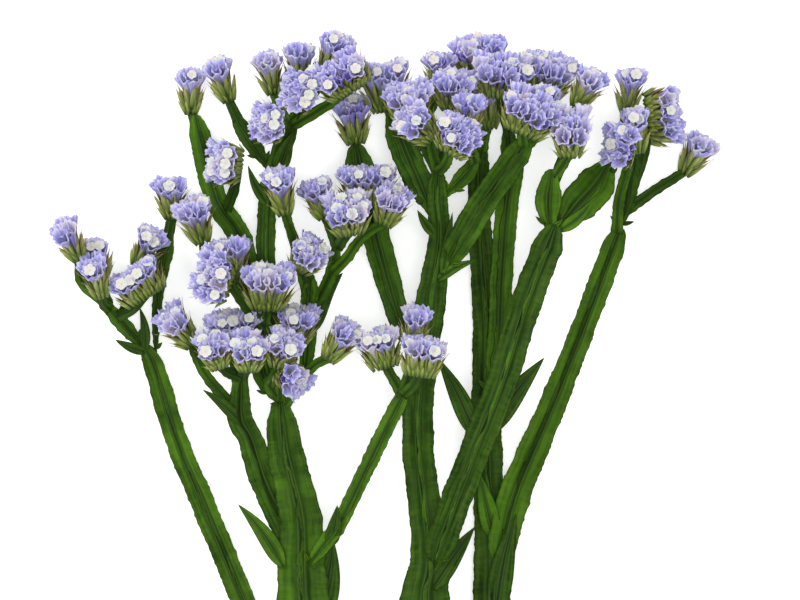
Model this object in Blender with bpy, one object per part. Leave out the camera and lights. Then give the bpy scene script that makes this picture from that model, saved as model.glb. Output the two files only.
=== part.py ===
"""A cut spray of statice lying on a flat surface, as solids.

One branched green stem with leafy wings carries the flower heads. Each head is a fan of papery
calyces, some with a small corolla in the mouth, standing in a comb of pointed green bracts.
The tables below are in millimetres, +Y from the cut end to the flowers and +Z up from the surface.
"""

import math
import random

import bmesh
import bpy
from mathutils import Vector
from mathutils.geometry import tessellate_polygon

MILLIMETRE = 0.001
CUBIC_MILLIMETRE = 1e-9

# Overall dimensions, in millimetres
REST_SPOT = Vector((35.0, 84.0, 0.0))  # the flat spot on the underside, which becomes the origin
GAP = 0.35  # clearance between a head and the green that carries it
SECTION_STEP = 33.0  # distance between cross-sections along a winged stem
STALK_STEP = 14.0  # and along a thin stalk
STALK_WIDTH = 6.5  # below this width a stem has no wings
BLADE = 0.7  # thickness of a stem's wing at its edge
LEAF_THICKNESS = 1.3
LEAF_PROFILE = ((0.0, 0.5), (0.3, 1.0), (0.68, 0.66))  # places along a leaf and widths there, as shares
LEAF_ARCH = 0.12
LEAF_RIB = 0.6  # the part of a leaf's thickness that stands above it

# A stem's cross-section, as shares of its width
CORE_SHARE = 0.15
CORE_FLATNESS = 0.8
FRONT_RIDGE_SHARE = 0.28
BACK_RIDGE_SHARE = 0.22
WING_TOOTH = 0.14  # how far the wing's edge goes in and out
WING_WAVE = 0.07  # how far it waves up and down
PLAIN_RISE = 0.36  # half the height of a stalk that has no wings

# A flower head, in millimetres or as shares
CALYX_PITCH = 7.7  # room that a calyx takes along the head
ROW_STEP = 0.5  # from the foot's middle to each row's roots
ROW_SPREAD = 0.92  # how far each row leans out at the mouths, in radii of a mouth
LONG_FOOT = 9.0  # a head whose bracts reach further than this each way has more of them
BRACT_POINTS = (8, 10)  # points of the bracts round a short foot and round a long one
LARGEST_MOUTH = 4.4  # radius of the widest calyx
BRACT_SHARE = 0.29  # the part of a head's height below the notches between its bracts
BRACT_TIP = 2.4  # height of the bracts' points above those notches
BRACT_ROOM = 0.7  # clearance between the bracts and the corners of the calyces' core
BRACT_CORNER = 0.82  # how near the ring of bracts comes to the corner of its square, as a share
BRACT_FLARE = 0.4
CORE_HEIGHT = 1.6
CORE_TAPER = 0.85
THROAT_RADIUS = 1.0
THROAT_ROOM = 0.25  # from the throats to the core's edge
STALK_ROOT = 1.8  # half the width of a head's stalk where it leaves the stem, and at the head
STALK_TIP = 1.3
STALK_FLATNESS = 0.8
BRACT_DISH = 0.6  # how far the bracts' cup is sunk in its middle
MOUTH_SHARE = 0.47  # a calyx's radius as a share of its room
LOBE_REACH = (1.0, 0.82)  # how far a calyx's rim reaches at a lobe and between two lobes
LOBE_RISE = (0.05, -0.12)  # and how high it stands there, both as shares of its radius
RUFFLE = 0.25
DISH_SHARE = 0.45  # depth of a calyx's mouth as a share of its radius
COROLLA_SHARE = 0.45
COROLLA_RISE = 0.5
COROLLA_EYE = 0.2
FLOWERING = 0.22  # the part of the calyces that hold an open corolla
WIDEST_FAN = math.radians(58)
LOBES = 5
REACH_RANGE = (0.95, 1.05)
LEAN_DRIFT = 0.015
HEIGHT_RANGE = (0.95, 1.03)
NEARLY_UPRIGHT = 0.9
LARGEST_SCRAP = 3.0  # cubic millimetres of a loose piece that may be dropped
GROUND_SIZE = 0.8  # metres, of the block that trims what would reach below the surface
SHARP_ANGLE = math.radians(35)

GREEN = (0.055, 0.16, 0.022, 1)
LAVENDER = (0.42, 0.38, 0.78, 1)
GREEN_ROUGHNESS = 0.6
LAVENDER_ROUGHNESS = 0.8

# Each stem is a route of points (x, y, z, width across the wings), from its root to its tip.
STEMS = {
    "trunk": [(1, -134, 3.2, 16), (0, -112, 3.6, 16), (1, -82, 9, 17)],
    "left": [
        (1, -84, 9, 14), (-10, -70, 12, 14), (-23, -50, 15, 15), (-33, -24, 19, 19), (-39, 0, 22, 21),
        (-40, 32, 26, 17), (-46, 60, 30, 14), (-48, 80, 33, 11),
    ],
    "left_outer": [
        (-24, -52, 15, 8), (-41, -38, 13, 9), (-56, -18, 12, 9.5), (-68, 10, 11, 9.5),
        (-80.5, 40, 10, 9.5), (-90.5, 64, 10, 9), (-99, 92, 10, 8.5), (-104, 102, 11, 7),
    ],
    "left_outer_fork": [(-102, 99, 11, 6), (-110, 108, 12, 6), (-116, 115, 13, 6), (-119, 120, 14, 5)],
    "left_outer_upright": [(-99, 97, 10, 3), (-98, 120, 9, 4), (-95, 140, 9, 7), (-93, 149, 9, 6)],
    "left_front": [
        (-39, 11, 24, 5), (-29, 24, 33, 6), (-23.5, 32, 37, 6), (-8, 64, 44, 6.4), (3, 86, 46, 6.4),
    ],
    "left_side": [
        (-38, 10, 23, 7), (-46, 28, 21, 11), (-55, 48, 23, 11), (-60, 64, 26, 10), (-64, 72, 28, 10),
        (-64, 84, 33, 7), (-63, 93, 39, 7),
    ],
    "left_middle": [(-47, 78, 33, 6), (-52, 86, 39, 6), (-52, 90, 43, 5)],
    "left_back": [
        (-48, 78, 31, 5), (-56, 92, 20, 8), (-60, 120, 15, 9), (-64, 144, 14, 9), (-74, 160, 12, 9),
        (-80, 183, 9, 9), (-83, 195, 7, 8),
    ],
    "left_inner": [
        (-47, 78, 31, 4), (-49, 92, 24, 6), (-52, 112, 20, 7.5), (-54, 144, 21, 7.5),
        (-52, 174, 23, 7),
    ],
    "left_inner_fork": [(-52, 172, 23, 6), (-56, 178, 22, 7), (-64, 190, 22, 7), (-67, 196, 23, 5)],
    "left_inner_top": [(-52, 172, 23, 5), (-46, 181, 25, 5), (-42, 193, 30, 5)],
    "left_upright": [
        (-46, 78, 32, 4), (-39, 90, 29, 5), (-37, 102, 24, 6), (-37, 113, 20, 7), (-36, 124, 26, 7),
        (-36, 130, 31, 6),
    ],
    "left_upright_fork": [(-37, 112, 20, 4), (-30, 125, 26, 5), (-27, 133, 29, 5), (-25, 144, 32, 5)],
    "right": [
        (1, -84, 9, 14), (7, -66, 12, 15), (11, -48, 15, 16), (12, -24, 19, 18), (10, 0, 22, 20),
        (12, 14, 24, 16), (10.5, 32, 25, 13), (7.2, 62, 26, 12.5), (8.2, 88, 26, 12),
        (12.5, 120, 26, 12), (16, 144, 27, 9), (15, 160, 29, 8), (15, 174, 37, 6),
    ],
    "right_left_fork": [(13, 154, 28, 9), (7, 168, 26, 11), (2, 180, 24, 11.5), (-4, 196, 21, 9)],
    "right_right_fork": [(17, 161, 30, 6), (27, 171, 32, 7), (31, 178, 37, 5)],
    "right_broad": [
        (16, 130, 27, 9), (25, 145, 34, 11), (34, 160, 38, 11), (48, 180, 46, 10),
        (49, 186, 50, 7),
    ],
    "middle": [
        (8, 98, 25, 9), (0, 112, 22, 9), (-10, 147, 18, 11.5), (-15, 166, 16, 12.5),
        (-18, 183, 16, 11),
    ],
    "front": [
        (13, 12, 26, 11), (18, 28, 36, 12), (31, 63, 44, 12), (40, 86, 46, 12),
        (50, 118, 44, 12), (59, 142, 42, 12), (62, 150, 42, 11),
    ],
    "front_left_fork": [(60, 146, 42, 9), (59, 160, 43, 10.5), (60.5, 172, 47, 9)],
    "front_right_fork": [(62, 148, 41, 10), (71, 158, 38, 15), (79, 167, 34, 15.5), (83.5, 175, 30, 12)],
    "back": [
        (9, -60, 13, 10), (20, -50, 12, 11), (34, -28, 9, 12), (37, 0, 6, 15.5), (37.5, 20, 4, 15),
        (36, 44, 1.9, 12), (35, 74, 1.8, 12), (35, 104, 1.9, 11), (34, 124, 5, 10), (32, 154, 12, 9),
        (32, 174, 15, 8), (34, 184, 16, 5),
    ],
    "back_fork": [
        (36, 76, 3, 8), (40, 104, 4, 9), (41, 128, 7, 9), (43, 156, 13, 9),
        (45, 172, 17, 9), (43, 190, 27, 6),
    ],
    "far_right": [
        (39, 8, 6, 11), (46, 40, 9, 13), (60, 74, 14, 11), (72, 104, 16, 9.5),
        (89, 149, 14, 9.5),
    ],
    "far_right_middle": [(88, 148, 14, 6), (92, 160, 17, 6), (94, 174, 25, 5)],
    "middle_cluster": [(-52, 88, 34, 5), (-54, 103, 31, 5), (-54, 110, 36, 4.5), (-54, 113, 40, 4)],
}

# Each leaf is a base point, a tip point and its width.
LEAVES = [
    ((-103, 100, 11), (-105, 117, 15), 4),
    ((-103, 99, 11), (-115, 104, 13), 4),
    ((-63, 70, 28), (-79, 84, 31), 5),
    ((-47, 13, 23), (-65, 38, 27), 7),
    ((-28, 22, 32), (-25, 38, 42), 6),
    ((-53, 158, 22), (-61, 174, 27), 4),
    ((-49, 172, 24), (-43, 187, 31), 7),
    ((-36, 107, 19), (-23, 131, 20), 8),
    ((-38, -14, 19), (-27, 24, 21), 13),
    ((30, 66, 44), (15, 97, 39), 8),
    ((13, 4, 23), (30, 29, 29), 8),
    ((17, 130, 28), (21, 155, 33), 4),
    ((14, 146, 27), (7, 156, 31), 4),
    ((15, 128, 27), (31, 136, 31), 4),
    ((11, 106, 26), (2, 119, 29), 4),
    ((64, 148, 41), (77, 160, 45), 5),
    ((38, 24, 5), (32, 50, 13), 8),
    ((39, -6, 6), (47, 34, 9), 10),
    ((35, 67, 45), (57.5, 97, 43), 9),
]

# Each head is the way it faces in the plane of the spray and its lean towards the upper side, in degrees,
# then its height, its width at the mouths and the length of its foot, then its stalk's route to its foot.
HEADS = {
    "head_far_left": ((118, 10), (16, 14, 2), [(-118, 118, 13), (-128, 127, 19), (-129, 137, 25)]),
    "head_far_left_back": ((100, 0), (14, 14, 3), [(-118, 118, 13), (-120, 124, 11), (-121, 130, 10)]),
    "head_far_left_front": ((104, 15), (16, 13, 2), [(-117, 116, 13), (-119, 118, 20), (-120, 122, 26)]),
    "head_left_comb": ((122, 10), (12, 23, 14), [(-115, 113, 12), (-108, 116, 20), (-102, 122, 26)]),
    "head_left_stalked": ((62, 5), (15, 15, 2), [(-113, 112, 12), (-108, 124, 13), (-105.5, 134.5, 17)]),
    "head_left_upright": ((92, 5), (15, 17, 3), [(-94, 145, 9), (-92, 154, 9)]),
    "head_left_thin": ((130, 15), (16, 15, 3), [(-64, 74, 28), (-78, 90, 27), (-84, 103, 27)]),
    "head_top_left": ((92, 0), (16, 13, 2), [(-82, 188, 8), (-84.5, 196.5, 5.6)]),
    "head_top_left_fork": ((110, 5), (16, 13, 2), [(-65, 192, 22), (-69, 201, 24)]),
    "head_top_thin": ((100, 0), (15, 14, 2), [(-43, 188, 27), (-48, 196, 20), (-51, 204, 18)]),
    "head_top_edge": ((92, 0), (16, 14, 4), [(-42, 190, 28), (-42, 198, 24), (-40, 206, 22)]),
    "head_top_right": ((70, 0), (17, 14, 4), [(-42, 191, 29), (-36, 201, 25), (-30, 210, 24)]),
    "head_top_diagonal": ((122, 35), (14, 24, 14), [(-43, 190, 29), (-32, 196, 36), (-20, 204, 41)]),
    "head_top_front": ((165, 60), (12, 18, 10), [(-42, 191, 29), (-36, 202, 39)]),
    "head_inner_comb": ((172, 50), (12, 17, 9), [(-52, 172, 23), (-49, 182, 28), (-48, 190, 34)]),
    "head_back_comb": ((172, 35), (12, 18, 10), [(-71, 155, 12), (-67, 164, 18), (-65, 174, 25)]),
    "head_back_side": (
        (108, 10), (17, 17, 3), [(-60, 120, 16), (-70, 128, 19), (-77, 137, 24), (-79.5, 144, 27)],
    ),
    "head_upright_side": ((100, 10), (17, 14, 2), [(-37, 122, 26), (-42, 142, 31), (-46, 155, 40)]),
    "head_upright_top": ((55, 35), (13, 17, 5), [(-36, 128, 30), (-40, 133, 37)]),
    "head_middle_front": ((160, 45), (14, 24, 12), [(-54, 109, 36), (-61, 117, 44), (-68, 127, 48)]),
    "head_middle_back": ((100, 0), (17, 19, 4), [(-54, 104, 32), (-61, 116, 32), (-66, 127, 33)]),
    "head_middle": ((88, 18), (17, 24, 9), [(-54, 110, 36), (-53, 117, 44)]),
    "head_upper_left": ((110, 5), (14, 15, 3), [(-25, 141, 31), (-28, 149, 32), (-30, 154, 32)]),
    "head_upper_row": ((92, 5), (14, 25, 13), [(-25, 141, 31), (-18, 152, 30), (-13, 159, 30)]),
    "head_upper_front": ((98, 30), (15, 22, 8), [(-25, 141, 31), (-23, 144, 40), (-20, 147, 49)]),
    "head_upper_right": (
        (68, 20), (15, 16, 4), [(-27, 131, 29), (-22, 136, 33), (-15, 145, 43), (-6, 151, 46)],
    ),
    "head_side_left": ((95, 8), (13, 26, 11), [(-64, 83, 32), (-66, 93, 33), (-66, 102, 33)]),
    "head_side_right": ((84, 12), (14, 20, 5), [(-47, 79, 33), (-44, 92, 35), (-42, 103, 35)]),
    "head_side_front_left": ((108, 28), (14, 17, 4), [(-63, 89, 37), (-68, 91, 45), (-72, 94, 50)]),
    "head_side_front_middle": ((90, 28), (14, 17, 5), [(-63, 89, 37), (-62, 91, 46), (-60, 93, 54)]),
    "head_side_front_right": ((72, 26), (14, 16, 4), [(-52, 86, 40), (-50, 90, 46), (-48, 94, 50)]),
    "head_side_front_low": ((-40, 40), (12, 14, 5), [(-48, 79, 33), (-48, 88, 42), (-47, 92, 47)]),
    "head_right_fork": ((56, 10), (16, 14, 3), [(-46, 78, 33), (-40, 87, 36), (-34, 94, 40), (-28, 97, 43)]),
    "head_front_left": ((105, 5), (14, 18, 7), [(1, 82, 46), (-3, 89, 46), (-6, 94, 46)]),
    "head_front_tall": ((82, 5), (15, 13, 2), [(1, 82, 46), (4, 93, 49), (5, 102, 51)]),
    "head_front_comb": ((82, 10), (14, 19, 9), [(1, 82, 46), (5, 86, 54), (8, 91, 61)]),
    "head_crown_edge": ((97, 5), (18, 18, 4), [(-17, 175, 16), (-18, 184, 16)]),
    "head_crown_left_back": ((98, 0), (18, 24, 9), [(-1, 187, 22), (-5, 197, 20)]),
    "head_crown_left": ((95, 22), (15, 22, 8), [(15, 171, 35), (9, 183, 37), (4, 192, 38)]),
    "head_crown_back": ((90, 0), (14, 15, 3), [(2, 178, 24), (10, 192, 19), (16, 205, 17)]),
    "head_crown_middle": ((85, 22), (15, 20, 6), [(15, 172, 36), (18, 186, 34), (21, 197, 33)]),
    "head_crown_front": ((138, 25), (15, 18, 6), [(15, 172, 36), (13, 179, 46), (12, 185, 54)]),
    "head_crown_right": ((80, 5), (15, 15, 4), [(30, 175, 35), (28, 182, 42), (26, 187, 47)]),
    "head_crown_low": ((62, 38), (14, 20, 8), [(15, 171, 35), (18, 174, 50), (20, 179, 62)]),
    "head_peak_low": ((95, 0), (17, 17, 5), [(33, 180, 16), (35, 190, 16)]),
    "head_peak_left": ((97, 12), (16, 26, 11), [(32, 176, 15), (26, 192, 12), (27, 203, 13), (33, 210, 15)]),
    "head_peak": ((84, 28), (16, 27, 13), [(44, 186, 25), (40, 202, 33)]),
    "head_peak_right": ((74, 18), (17, 25, 9), [(45, 174, 18), (52, 190, 19), (57, 202, 20)]),
    "head_broad": ((66, 32), (16, 26, 12), [(49, 181, 48), (48.5, 187, 54)]),
    "head_broad_side": ((84, 0), (14, 12, 3), [(47, 178, 45), (54, 185, 42), (57.5, 190.5, 40)]),
    "head_front_fork": ((90, 35), (18, 17, 5), [(61.5, 169, 46), (67.5, 178, 51)]),
    "head_front_side": ((62, 5), (15, 14, 2), [(60, 164, 44), (68, 184, 38), (71, 198, 34)]),
    "head_far_right_back": ((82, 0), (16, 13, 2), [(84, 171, 31), (89, 186, 20), (91.5, 196.5, 16)]),
    "head_far_right_comb": (
        (172, 55), (11, 18, 10), [(87.5, 147, 14), (88, 160, 24), (91, 173, 36), (92, 181, 42)],
    ),
    "head_far_right_middle": ((95, 5), (16, 13, 2), [(94, 171, 23), (95, 180, 30)]),
    "head_far_right_side": ((8, 10), (12, 24, 17), [(93, 164, 19), (98, 178, 19), (100.5, 193, 18)]),
    "head_far_right_low": ((58, 0), (15, 15, 2), [(91, 156, 15), (104, 165, 10), (115.5, 172, 5.8)]),
}


def metres(point):
    """A point of the tables, from the resting spot and in metres."""
    return (Vector(point) - REST_SPOT) * MILLIMETRE


def clear_scene():
    for old in list(bpy.data.objects):
        bpy.data.objects.remove(old, do_unlink=True)


def material(name, colour, roughness):
    made = bpy.data.materials.new(name)
    made.use_nodes = True
    shader = made.node_tree.nodes["Principled BSDF"]
    shader.inputs["Base Color"].default_value = colour
    shader.inputs["Roughness"].default_value = roughness
    shader.inputs["Metallic"].default_value = 0.0
    made.diffuse_color = colour
    return made


def solid(name, points, triangles, collection):
    """An object from points in millimetres and triangles that face out."""
    mesh = bpy.data.meshes.new(name)
    mesh.from_pydata([metres(p) for p in points], [], triangles)
    made = bpy.data.objects.new(name, mesh)
    collection.objects.link(made)
    return made


def smooth_route(points, spacing):
    """Points along a smooth curve through the given points, with the width carried along."""
    rows = [Vector(p[:3]) for p in points]
    ends = [rows[0] * 2 - rows[1]] + rows + [rows[-1] * 2 - rows[-2]]
    route = []
    for i in range(len(rows) - 1):
        a, b, c, d = ends[i : i + 4]
        steps = max(1, round((c - b).length / spacing))
        for k in range(steps):
            t = k / steps
            spot = 0.5 * (2 * b + (c - a) * t + (2 * a - 5 * b + 4 * c - d) * t**2)
            spot += 0.5 * (3 * b - a - 3 * c + d) * t**3
            route.append((spot, points[i][3] * (1 - t) + points[i + 1][3] * t))
    route.append((rows[-1], points[-1][3]))
    return route


def winged_section(width, draw):
    """The ten corners of a winged stem's cross-section, sideways and upwards from its middle."""
    core = width * CORE_SHARE
    flat = core * CORE_FLATNESS
    corners = []
    for sign in (1, -1):
        reach = sign * width / 2 * (1 + WING_TOOTH * draw.uniform(-1, 1))
        lift = width * WING_WAVE * draw.uniform(-1, 1)
        corners.append([(reach, lift + BLADE / 2), (reach, lift - BLADE / 2)])
    ring = [corners[0][0], (core, flat), (0, width * FRONT_RIDGE_SHARE), (-core, flat)]
    ring += [corners[1][0], corners[1][1], (-core, -flat)]
    return ring + [(0, -width * BACK_RIDGE_SHARE), (core, -flat), corners[0][1]]


def plain_section(width):
    """The four corners of a thin stalk's cross-section."""
    rise = width * PLAIN_RISE
    return [(width / 2, 0), (0, rise), (-width / 2, 0), (0, -rise)]


def stem(name, points, collection):
    """A closed stem with two side wings, whose faces are split alike on both sides of each wing."""
    draw = random.Random(name)
    winged = max(p[3] for p in points) > STALK_WIDTH
    route = smooth_route(points, SECTION_STEP if winged else STALK_STEP)
    verts = []
    for i, (spot, width) in enumerate(route):
        before = route[max(i - 1, 0)][0]
        after = route[min(i + 1, len(route) - 1)][0]
        along = (after - before).normalized()
        up = (Vector((0, 0, 1)) - along * along.z).normalized()
        side = up.cross(along)
        corners = winged_section(width, draw) if winged else plain_section(width)
        verts += [spot + side * x + up * y for x, y in corners]
    size = len(corners)
    half = size // 2
    faces = []
    for i in range(len(route) - 1):
        for j in range(size):
            a, b = i * size + j, i * size + (j + 1) % size
            c, d = b + size, a + size
            faces += [(a, b, c), (a, c, d)] if j in (0, half) else [(a, b, d), (b, c, d)]
    last = (len(route) - 1) * size
    verts += [route[0][0], route[-1][0]]
    for j in range(size):
        k = (j + 1) % size
        faces += [(len(verts) - 2, k, j), (len(verts) - 1, last + j, last + k)]
    return solid(name, verts, faces, collection)


def leaf(name, base, tip, width, collection):
    """A lance-shaped leaf with a raised rib, arched a little upwards."""
    base, tip = Vector(base), Vector(tip)
    along = (tip - base).normalized()
    side = Vector((0, 0, 1)).cross(along).normalized()
    up = along.cross(side)
    verts = []
    for share, spread in LEAF_PROFILE:
        centre = base.lerp(tip, share) + up * math.sin(share * math.pi) * width * LEAF_ARCH
        half = width * spread / 2
        verts += [centre + side * half, centre + up * LEAF_THICKNESS * LEAF_RIB]
        verts += [centre - side * half, centre - up * LEAF_THICKNESS * (1 - LEAF_RIB)]
    verts += [base, tip]
    faces = []
    for i in (0, 4):
        for j in range(4):
            a, b = i + j, i + (j + 1) % 4
            c, d = b + 4, a + 4
            faces += [(a, b, c), (a, c, d)] if j in (0, 2) else [(a, b, d), (b, c, d)]
    for j in range(4):
        k = (j + 1) % 4
        faces += [(12, k, j), (13, 8 + j, 8 + k)]
    return solid(name, verts, faces, collection)


def basis(direction):
    """Two directions square to the given one and to each other."""
    side = direction.cross(Vector((0, 0, 1)) if abs(direction.z) < NEARLY_UPRIGHT else Vector((1, 0, 0)))
    side.normalize()
    return side, direction.cross(side)


def ring(centre, direction, radii, heights):
    """Points round an axis, one for each radius, at their own heights along it."""
    side, other = basis(direction)
    points = []
    for i, (radius, height) in enumerate(zip(radii, heights)):
        angle = 2 * math.pi * i / len(radii)
        spot = centre + direction * height
        points.append(spot + (side * math.cos(angle) + other * math.sin(angle)) * radius)
    return points


def fan(tip, first, count):
    """Triangles from one point to a ring of points."""
    return [(tip, first + i, first + (i + 1) % count) for i in range(count)]


def zipped(low, low_count, high, high_count):
    """Triangles between two rings whose points stand at even steps from the same start."""
    faces = []
    i = j = 0
    while i < low_count or j < high_count:
        a, b = low + i % low_count, high + j % high_count
        if (i + 1) * high_count <= (j + 1) * low_count and i < low_count or j == high_count:
            faces.append((a, low + (i + 1) % low_count, b))
            i += 1
        else:
            faces.append((a, high + (j + 1) % high_count, b))
            j += 1
    return faces


def squared(angle):
    """A point of a round-cornered square, from the angle at which it is seen from the middle."""
    x, y = math.cos(angle), math.sin(angle)
    return math.copysign(abs(x) ** 0.5, x), math.copysign(abs(y) ** 0.5, y)


def head_axes(facing, lean):
    """A head's directions: along its foot, towards its upper side, and the way its flowers face."""
    turn, tilt = math.radians(facing), math.radians(lean)
    way = Vector((math.cos(turn), math.sin(turn), 0))
    axis = way * math.cos(tilt) + Vector((0, 0, math.sin(tilt)))
    along = Vector((0, 0, 1)).cross(way)
    return along, axis.cross(along), axis


def bracts(name, route, axes, foot_length, half_length, half_depth, top, collection):
    """A head's stalk, which widens into the cup of its bracts and ends in a ring of points."""
    along, front, axis = axes
    points = [Vector(p) for p in route]
    foot = points[-1]
    verts = []
    for i, spot in enumerate(points[:-1]):
        direction = (points[i + 1] - points[max(i - 1, 0)]).normalized()
        side = (along - direction * along.dot(direction)).normalized()
        up = direction.cross(side)
        wide = STALK_ROOT * (1 - i / len(points)) + STALK_TIP * i / len(points)
        flat = wide * STALK_FLATNESS
        verts += [spot + side * wide, spot + up * flat, spot - side * wide, spot - up * flat]
    half = foot_length / 2 + STALK_TIP
    verts += [foot + along * half, foot + front * STALK_TIP]
    verts += [foot - along * half, foot - front * STALK_TIP]
    faces = [(0, 3, 2), (0, 2, 1)]
    for i in range(len(points) - 1):
        faces += zipped(4 * i, 4, 4 * i + 4, 4)
    count = BRACT_POINTS[0] if half_length < LONG_FOOT else BRACT_POINTS[1]
    cup = len(verts)

    def spot_at(step, beyond, height):
        x, y = squared(2 * math.pi * step / count)
        reach = half_length / BRACT_CORNER + beyond
        depth = half_depth / BRACT_CORNER + beyond
        return foot + along * x * reach + front * y * depth + axis * height

    verts += [spot_at(i, 0, top) for i in range(count)]
    verts += [spot_at(i + 0.5, BRACT_FLARE, top + BRACT_TIP) for i in range(count)]
    verts.append(foot + axis * (top - BRACT_DISH))
    faces += zipped(cup - 4, 4, cup, count)
    for i in range(count):
        j = cup + (i + 1) % count
        tip = cup + count + i
        faces += [(cup + i, j, tip), (len(verts) - 1, cup + i, tip), (len(verts) - 1, tip, j)]
    return solid(name, verts, faces, collection)


def calyx_cone(verts, faces, throat, foot, direction, top, mouth, draw):
    """A papery funnel with a ruffled rim of five lobes, dished or with a corolla in its mouth."""
    count = 2 * LOBES
    reaches = [mouth * LOBE_REACH[i % 2] * draw.uniform(*REACH_RANGE) for i in range(count)]
    heights = [top + mouth * LOBE_RISE[i % 2] + draw.uniform(-RUFFLE, RUFFLE) for i in range(count)]
    rim = len(verts)
    verts += ring(foot, direction, reaches, heights)
    faces += zipped(throat, LOBES, rim, count)
    if draw.random() < FLOWERING:
        inner = len(verts)
        verts += ring(foot, direction, [mouth * COROLLA_SHARE] * LOBES, [top + COROLLA_RISE] * LOBES)
        verts.append(foot + direction * (top - COROLLA_EYE))
        faces += [(a, c, b) for a, b, c in zipped(inner, LOBES, rim, count)]
        faces += fan(len(verts) - 1, inner, LOBES)
    else:
        verts.append(foot + direction * (top - mouth * DISH_SHARE))
        faces += fan(len(verts) - 1, rim, count)


def calyces(name, foot, axes, height, mouth, spots, level, half_length, half_depth):
    """One closed body: a low core whose upper face opens into the throats of the calyces."""
    along, front, axis = axes
    draw = random.Random(name)
    verts = []
    for rise, share in ((level - CORE_HEIGHT, CORE_TAPER), (level, 1)):
        for x, y in ((1, 1), (-1, 1), (-1, -1), (1, -1)):
            reach = along * x * half_length + front * y * half_depth
            verts.append(foot + reach * share + axis * rise)
    faces = [(0, 2, 1), (0, 3, 2)] + zipped(0, 4, 4, 4)
    outlines = [[4, 5, 6, 7]]
    for x, y, lean_x, lean_y in spots:
        lean_x += draw.uniform(-LEAN_DRIFT, LEAN_DRIFT)
        direction = (axis + along * lean_x + front * lean_y).normalized()
        root = foot + along * x + front * y
        centre = root + direction * (level / direction.dot(axis))
        throat = len(verts)
        for i in range(LOBES):
            angle = 2 * math.pi * i / LOBES
            side, other = basis(direction)
            spot = centre + (side * math.cos(angle) + other * math.sin(angle)) * THROAT_RADIUS
            verts.append(spot - axis * ((spot - foot).dot(axis) - level))
        outlines.append(list(range(throat, throat + LOBES)))
        tall = height * draw.uniform(*HEIGHT_RANGE)
        calyx_cone(verts, faces, throat, root, direction, tall, mouth, draw)
    order = [i for outline in outlines for i in outline]
    flat = []
    for outline in outlines:
        flat.append([Vector((verts[i].dot(along), verts[i].dot(front), 0)) for i in outline])
    for triangle in tessellate_polygon(flat):
        a, b, c = [order[i] for i in triangle]
        normal = (verts[b] - verts[a]).cross(verts[c] - verts[a])
        faces.append((a, b, c) if normal.dot(axis) > 0 else (a, c, b))
    return solid(name, verts, faces, bpy.context.scene.collection)


def flower_head(name, spec, green):
    """One fan of calyces in two staggered rows, with its stalk and bracts."""
    (facing, lean), (height, width, foot_length), route = spec
    axes = head_axes(facing, lean)
    foot = Vector(route[-1])
    across = max(2, round(width / CALYX_PITCH))
    mouth = min(LARGEST_MOUTH, MOUTH_SHARE * width / across)
    splay = min(max((width / 2 - mouth - foot_length / 2) / height, 0), math.tan(WIDEST_FAN / 2))
    row_lean = ROW_SPREAD * mouth / height
    bract_top = height * BRACT_SHARE
    level = bract_top + BRACT_TIP + CORE_HEIGHT / 2
    spots = []
    for row, count in ((1, across), (-1, across - 1)):
        for i in range(count):
            share = (i - (count - 1) / 2) / (across - 1) * 2
            spots.append((share * foot_length / 2, row * ROW_STEP, share * splay, row * row_lean))
    half_length = foot_length / 2 + splay * level + THROAT_RADIUS + THROAT_ROOM
    half_depth = ROW_STEP + row_lean * level + THROAT_RADIUS + THROAT_ROOM
    bracts(
        f"{name}_bracts", route, axes, foot_length, half_length + BRACT_ROOM, half_depth + BRACT_ROOM,
        bract_top, green,
    )
    return calyces(name, foot, axes, height, mouth, spots, level, half_length, half_depth)


def fused(name, collection):
    """The union of a collection's solids as one object, and the solids removed."""
    pieces = list(collection.objects)
    first = pieces[0]
    collection.objects.unlink(first)
    bpy.context.scene.collection.objects.link(first)
    join = first.modifiers.new("join", "BOOLEAN")
    join.operation = "UNION"
    join.operand_type = "COLLECTION"
    join.collection = collection
    join.solver = "MANIFOLD"
    made = applied(name, first)
    for piece in pieces:
        bpy.data.objects.remove(piece, do_unlink=True)
    bpy.data.collections.remove(collection)
    return made


def applied(name, source):
    """A new object that holds the source as its modifiers leave it."""
    bpy.context.view_layer.update()
    graph = bpy.context.evaluated_depsgraph_get()
    mesh = bpy.data.meshes.new_from_object(source.evaluated_get(graph))
    mesh.name = name
    made = bpy.data.objects.new(name, mesh)
    bpy.context.scene.collection.objects.link(made)
    return made


def volume_of(faces):
    total = 0.0
    for face in faces:
        a, b, c = [loop.vert.co for loop in face.loops]
        total += a.dot(b.cross(c)) / 6
    return total


def keep_one_body(made):
    """Drops loose scraps and fills sealed hollows, and stops if a real piece is loose."""
    bm = bmesh.new()
    bm.from_mesh(made.data)
    bmesh.ops.triangulate(bm, faces=bm.faces)
    left = set(bm.faces)
    bodies = []
    while left:
        group = {left.pop()}
        edge = list(group)
        while edge:
            for side in edge.pop().edges:
                for face in side.link_faces:
                    if face in left:
                        left.remove(face)
                        group.add(face)
                        edge.append(face)
        bodies.append(group)
    bodies.sort(key=volume_of)
    for body in bodies[:-1]:
        size = volume_of(body) / CUBIC_MILLIMETRE
        if size > LARGEST_SCRAP:
            raise ValueError(f"{made.name} has a loose piece of {size:.0f} mm3")
        bmesh.ops.delete(bm, geom=list(body), context="FACES")
    bmesh.ops.delete(bm, geom=[v for v in bm.verts if not v.link_faces], context="VERTS")
    bm.to_mesh(made.data)
    bm.free()


def cut(made, cutter, solver):
    """Takes the cutter away from an object and applies it."""
    away = made.modifiers.new("cut", "BOOLEAN")
    away.operation = "DIFFERENCE"
    away.object = cutter
    away.solver = solver
    name = made.name
    made.name = name + "_uncut"
    result = applied(name, made)
    bpy.data.objects.remove(made, do_unlink=True)
    return result


def lowest(made):
    return min(v.co.z for v in made.data.vertices)


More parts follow.
